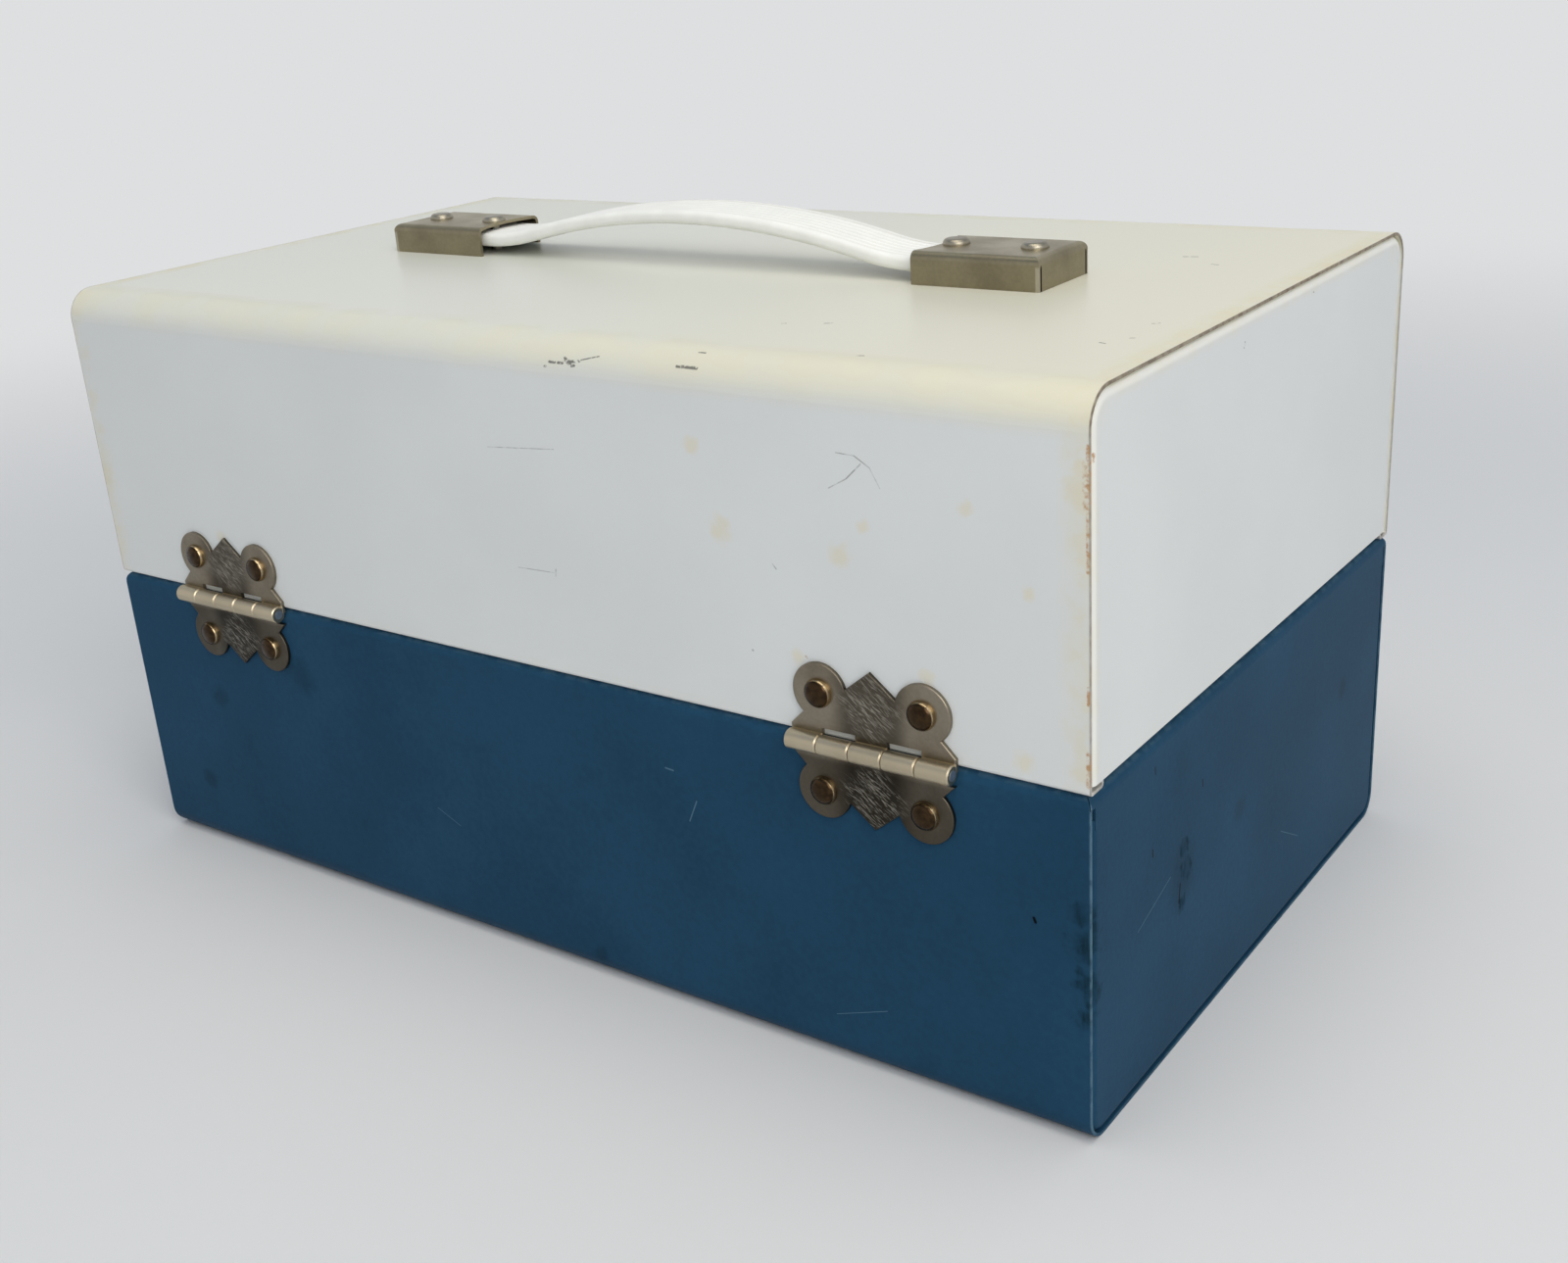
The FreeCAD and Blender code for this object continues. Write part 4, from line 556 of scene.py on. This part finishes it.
def paint_nodes():
    """Give every solid of the case its finish, by the slot it came with."""
    finishes = {
        "white_enamel": white_enamel(),
        "blue_enamel": blue_enamel(),
        "nickel_plate": plain_nickel("nickel_plate", NICKEL),
        "rivet_nickel": plain_nickel("rivet_nickel", RIVET_NICKEL),
        # The pins' steel is made brighter and bluer than the screws', a painted reflection
        "pin_steel": brushed_metal("pin_steel", PIN_STEEL_AND_REFLECTION, 0.4 * MM, (1, 6, 6)),
        "rivet_brass": rivet_brass(),
        "rail_steel": brushed_metal("rail_steel", ZINC, 0.5 * MM, (1, 20, 1)),
        "screw_steel": brushed_metal("screw_steel", STEEL, 0.5 * MM, (1, 1, 1)),
        "board_plastic": board_plastic(),
        "tray_plastic": plastic("tray_plastic", TRAY, 0.42),
        "hit_plastic": plastic("hit_plastic", HIT_RED, 0.3),
        "miss_plastic": plastic("miss_plastic", MISS_WHITE, 0.3),
        "first_fleet_plastic": plastic("first_fleet_plastic", FIRST_GREY, 0.36),
        "second_fleet_plastic": plastic("second_fleet_plastic", SECOND_GREY, 0.36),
        "strap_vinyl": strap_vinyl(),
    }
    for node in nodes.values():
        for place in node.material_slots:
            slot = place.material.name.split(".")[0]
            place.material = finishes[slot]
    hinge = hinge_nickel()
    for side in ("left", "right"):
        for part in ("lid", "base"):
            nodes[f"{side}_hinge_{part}_leaf"].material_slots[0].material = hinge
    return finishes


# The carrying strap, as the solids give it
tail_low, tail_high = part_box("strap_left_end")
arch_low, arch_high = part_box("strap_left_half")
STRAP_GAUGE = tail_high.z - tail_low.z
STRAP_HALF_WIDTH = tail_high.y
STRAP_BOTTOM = tail_low.z
STRAP_MOUTH = -(tail_high.x + arch_low.x) / 2
STRAP_TAIL = -tail_low.x
STRAP_ARCH = arch_high.z - arch_low.z - STRAP_GAUGE
MOUTH_SWEEP = 80 * MM
CROWN_SWEEP = (STRAP_MOUTH ** 2 + STRAP_ARCH ** 2) / (2 * STRAP_ARCH) - MOUTH_SWEEP
STRAP_TURN = 2 * math.atan(STRAP_ARCH / STRAP_MOUTH)
STRAP_CUT = 40 * MM
RIBS = 6
RIB_BAND = 16.5 * MM
RIB_DEPTH = 0.5 * MM
STRAP_ROUND = 1.7 * MM
RING_STEP = 1.5 * MM

# Slots for the handle's rivets, by their distance from the strap's middle
SLOT_HALF = 2.4 * MM
INNER_SLOT = (86.5 * MM, 92.5 * MM)
OUTER_SLOT = (109.5 * MM, STRAP_TAIL + SLOT_HALF)


def strap_line(x):
    """Height of the strap's underside at x, and its slope as an angle."""
    side = -1 if x > 0 else 1
    reach = abs(x)
    if reach >= STRAP_MOUTH:
        return STRAP_BOTTOM, 0.0
    if reach > STRAP_MOUTH - MOUTH_SWEEP * math.sin(STRAP_TURN):
        turn = math.asin((STRAP_MOUTH - reach) / MOUTH_SWEEP)
        return STRAP_BOTTOM + MOUTH_SWEEP * (1 - math.cos(turn)), side * turn
    turn = math.asin(reach / CROWN_SWEEP)
    return STRAP_BOTTOM + STRAP_ARCH - CROWN_SWEEP * (1 - math.cos(turn)), side * turn


def strap_section():
    """The strap's outline across its length, as side, height and depth in a groove."""
    points = []
    corner_steps = 6
    inner = STRAP_HALF_WIDTH - STRAP_ROUND
    corners = ((-inner, STRAP_ROUND, 180), (inner, STRAP_ROUND, 270), (inner, STRAP_GAUGE - STRAP_ROUND, 0),
               (-inner, STRAP_GAUGE - STRAP_ROUND, 90))
    for number, (side, height, start) in enumerate(corners):
        for step in range(corner_steps + 1):
            angle = math.radians(start + 90 * step / corner_steps)
            points.append((side + STRAP_ROUND * math.cos(angle), height + STRAP_ROUND * math.sin(angle), 0.0))
        if number == 2:
            points.extend(rib_points())
    return points


def rib_points():
    """The ribbed top, from right to left."""
    per_rib = 10
    points = []
    for step in range(RIBS * per_rib + 1):
        share = step / (RIBS * per_rib)
        groove = 1 - abs(math.sin(math.pi * RIBS * share))
        points.append((RIB_BAND * (0.5 - share), STRAP_GAUGE - RIB_DEPTH * groove ** 1.5, groove ** 3))
    return points


def strap_piece(name, start, end, slots=()):
    """A length of the strap from start to end along the case, closed at both ends."""
    section = strap_section()
    count = max(2, round(abs(end - start) / RING_STEP))
    mesh = bmesh.new()
    groove = mesh.verts.layers.float.new("groove")
    rings = []
    for step in range(count + 1):
        x = start + (end - start) * step / count
        bottom, slope = strap_line(x)
        ring = []
        for side, height, depth in section:
            vert = mesh.verts.new((x - height * math.sin(slope), side, bottom + height * math.cos(slope)))
            vert[groove] = depth
            ring.append(vert)
        rings.append(ring)
    for ring, following in zip(rings, rings[1:]):
        for number, vert in enumerate(ring):
            after = (number + 1) % len(ring)
            mesh.faces.new((vert, ring[after], following[after], following[number]))
    mesh.faces.new(rings[0][::-1])
    mesh.faces.new(rings[-1])
    bmesh.ops.recalc_face_normals(mesh, faces=mesh.faces)
    for face in mesh.faces:
        face.smooth = True
    data = bpy.data.meshes.new(name)
    mesh.to_mesh(data)
    mesh.free()
    data.set_sharp_from_angle(angle=math.radians(50))
    piece = bpy.data.objects.new(name, data)
    bpy.context.scene.collection.objects.link(piece)
    for slot in slots:
        cut_slot(piece, *slot)
    return piece


def cut_slot(piece, low, high):
    """Cut an oblong hole through a piece, between two corners."""
    mesh = bmesh.new()
    size = Vector(high) - Vector(low)
    bmesh.ops.create_cube(mesh, size=1.0, matrix=Matrix.Translation((Vector(low) + Vector(high)) / 2)
                          @ Matrix.Diagonal((*size, 1.0)))
    data = bpy.data.meshes.new("slot_cutter")
    mesh.to_mesh(data)
    mesh.free()
    cutter = bpy.data.objects.new("slot_cutter", data)
    bpy.context.scene.collection.objects.link(cutter)
    modifier = piece.modifiers.new("slot", "BOOLEAN")
    modifier.operation = "DIFFERENCE"
    modifier.solver = "EXACT"
    modifier.object = cutter
    bpy.context.view_layer.update()
    evaluated = piece.evaluated_get(bpy.context.evaluated_depsgraph_get())
    finished = bpy.data.meshes.new_from_object(evaluated)
    piece.modifiers.clear()
    piece.data = finished
    bpy.data.objects.remove(cutter)


def strap(vinyl):
    """The flexible strap in three lengths, each bending across one of its joints."""
    for label, sign in (("left", -1), ("right", 1)):
        holes = []
        for near, far in (INNER_SLOT, OUTER_SLOT):
            low, high = sorted((sign * near, sign * far))
            holes.append(((low, -SLOT_HALF, STRAP_BOTTOM - SLOT_HALF),
                          (high, SLOT_HALF, STRAP_BOTTOM + STRAP_GAUGE + SLOT_HALF)))
        piece = strap_piece(f"strap_{label}", sign * STRAP_TAIL, sign * STRAP_CUT, holes)
        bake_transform(piece)
        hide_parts(f"strap_{label}_end", f"strap_{label}_half")
        piece.data.materials.clear()
        piece.data.materials.append(vinyl)
    middle = strap_piece("strap_middle", -STRAP_CUT, STRAP_CUT)
    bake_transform(middle)
    middle.data.materials.append(vinyl)


# The studio, in metres: its floor, and the distances between which the floor starts to glow
FLOOR_RADIUS = 2.0
SWEEP_RADIUS = 1.2
WALL_HEIGHT = 2.4
GLOW_START = 0.15 * FLOOR_RADIUS
GLOW_END = 0.6 * FLOOR_RADIUS
SKY_STRENGTH = 0.52

# Each lamp's name, place, width, power in watts and tint
LAMPS = (
    ("key", (-1.25, 0.95, 1.15), 1.3, 17.5, (255, 251, 244)),
    ("overhead", (-0.2, 0.2, 1.9), 1.2, 11.5, (255, 247, 231)),
)


# The camera: its lens in millimetres, its place in metres, and its heading, pitch and roll in degrees
LENS = 41.45
SENSOR_WIDTH = 36.0
CAMERA_PLACE = (-0.34172, 0.43159, 0.28257)
CAMERA_TURN = (-143.2437, 68.5976, -3.9614)


def backdrop():
    """A round pale floor that sweeps up into a wall."""
    around = 96
    sweep_steps = 12
    profile = [(0.0, 0.0), (FLOOR_RADIUS, 0.0)]
    for step in range(1, sweep_steps + 1):
        angle = math.radians(90 * step / sweep_steps)
        profile.append((FLOOR_RADIUS + SWEEP_RADIUS * math.sin(angle), SWEEP_RADIUS * (1 - math.cos(angle))))
    profile.append((FLOOR_RADIUS + SWEEP_RADIUS, WALL_HEIGHT))
    mesh = bmesh.new()
    verts = [mesh.verts.new((radius, 0.0, height)) for radius, height in profile]
    edges = [mesh.edges.new(pair) for pair in zip(verts, verts[1:])]
    bmesh.ops.spin(mesh, geom=verts + edges, axis=(0, 0, 1), cent=(0, 0, 0), steps=around, angle=math.tau)
    bmesh.ops.remove_doubles(mesh, verts=mesh.verts, dist=MM)
    bmesh.ops.recalc_face_normals(mesh, faces=mesh.faces)
    for face in mesh.faces:
        face.smooth = True
    data = bpy.data.meshes.new("backdrop")
    mesh.to_mesh(data)
    mesh.free()
    floor = bpy.data.objects.new("backdrop", data)
    bpy.context.scene.collection.objects.link(floor)
    ground = Surface("backdrop")
    cloud = ground.noise(0.5, 3.0)
    ground.finish(ground.shade(FLOOR, ground.vary(cloud, 0.99, 1.01)), 0.8)
    rays = ground.add("ShaderNodeLightPath").outputs
    seen = ground.most(rays["Is Camera Ray"], rays["Is Glossy Ray"], rays["Is Transmission Ray"])
    far = ground.step(ground.span(ground.x, ground.y), GLOW_START, GLOW_END)
    glow = ground.add("ShaderNodeEmission", {"Color": linear(BACKDROP)}).outputs[0]
    blend = {0: ground.times(seen, far), 1: ground.shader.outputs[0], 2: glow}
    surface = ground.add("ShaderNodeMixShader", blend).outputs[0]
    ground.feed(ground.tree.nodes["Material Output"].inputs["Surface"], surface)
    data.materials.append(ground.material)


def studio():
    """A pale backdrop, a soft cool sky and two large lamps."""
    backdrop()
    world = bpy.data.worlds.new("studio")
    world.use_nodes = True
    sky = world.node_tree.nodes["Background"].inputs
    sky["Color"].default_value = linear(SKY)
    sky["Strength"].default_value = SKY_STRENGTH
    bpy.context.scene.world = world
    middle = Vector((0, 0, LID_TOP / 2))
    for name, place, width, power, tint in LAMPS:
        light = bpy.data.lights.new(name, "AREA")
        light.size = width
        light.energy = power
        light.color = linear(tint)[:3]
        lamp = bpy.data.objects.new(name, light)
        lamp.location = place
        lamp.rotation_euler = (middle - Vector(place)).to_track_quat("-Z", "Y").to_euler()
        bpy.context.scene.collection.objects.link(lamp)


def camera():
    """The photograph's standpoint, lens and slight tilt."""
    lens = bpy.data.cameras.new("camera")
    lens.lens = LENS
    lens.sensor_width = SENSOR_WIDTH
    lens.clip_start = 0.01
    view = bpy.data.objects.new("camera", lens)
    heading, pitch, roll = (math.radians(angle) for angle in CAMERA_TURN)
    turn = Euler((pitch, 0, heading)).to_matrix() @ Matrix.Rotation(roll, 3, "Z")
    view.matrix_world = Matrix.Translation(CAMERA_PLACE) @ turn.to_4x4()
    bpy.context.scene.collection.objects.link(view)
    bpy.context.scene.camera = view


finishes = paint_nodes()
strap(finishes["strap_vinyl"])
studio()
camera()
bpy.context.scene.view_settings.view_transform = "Standard"
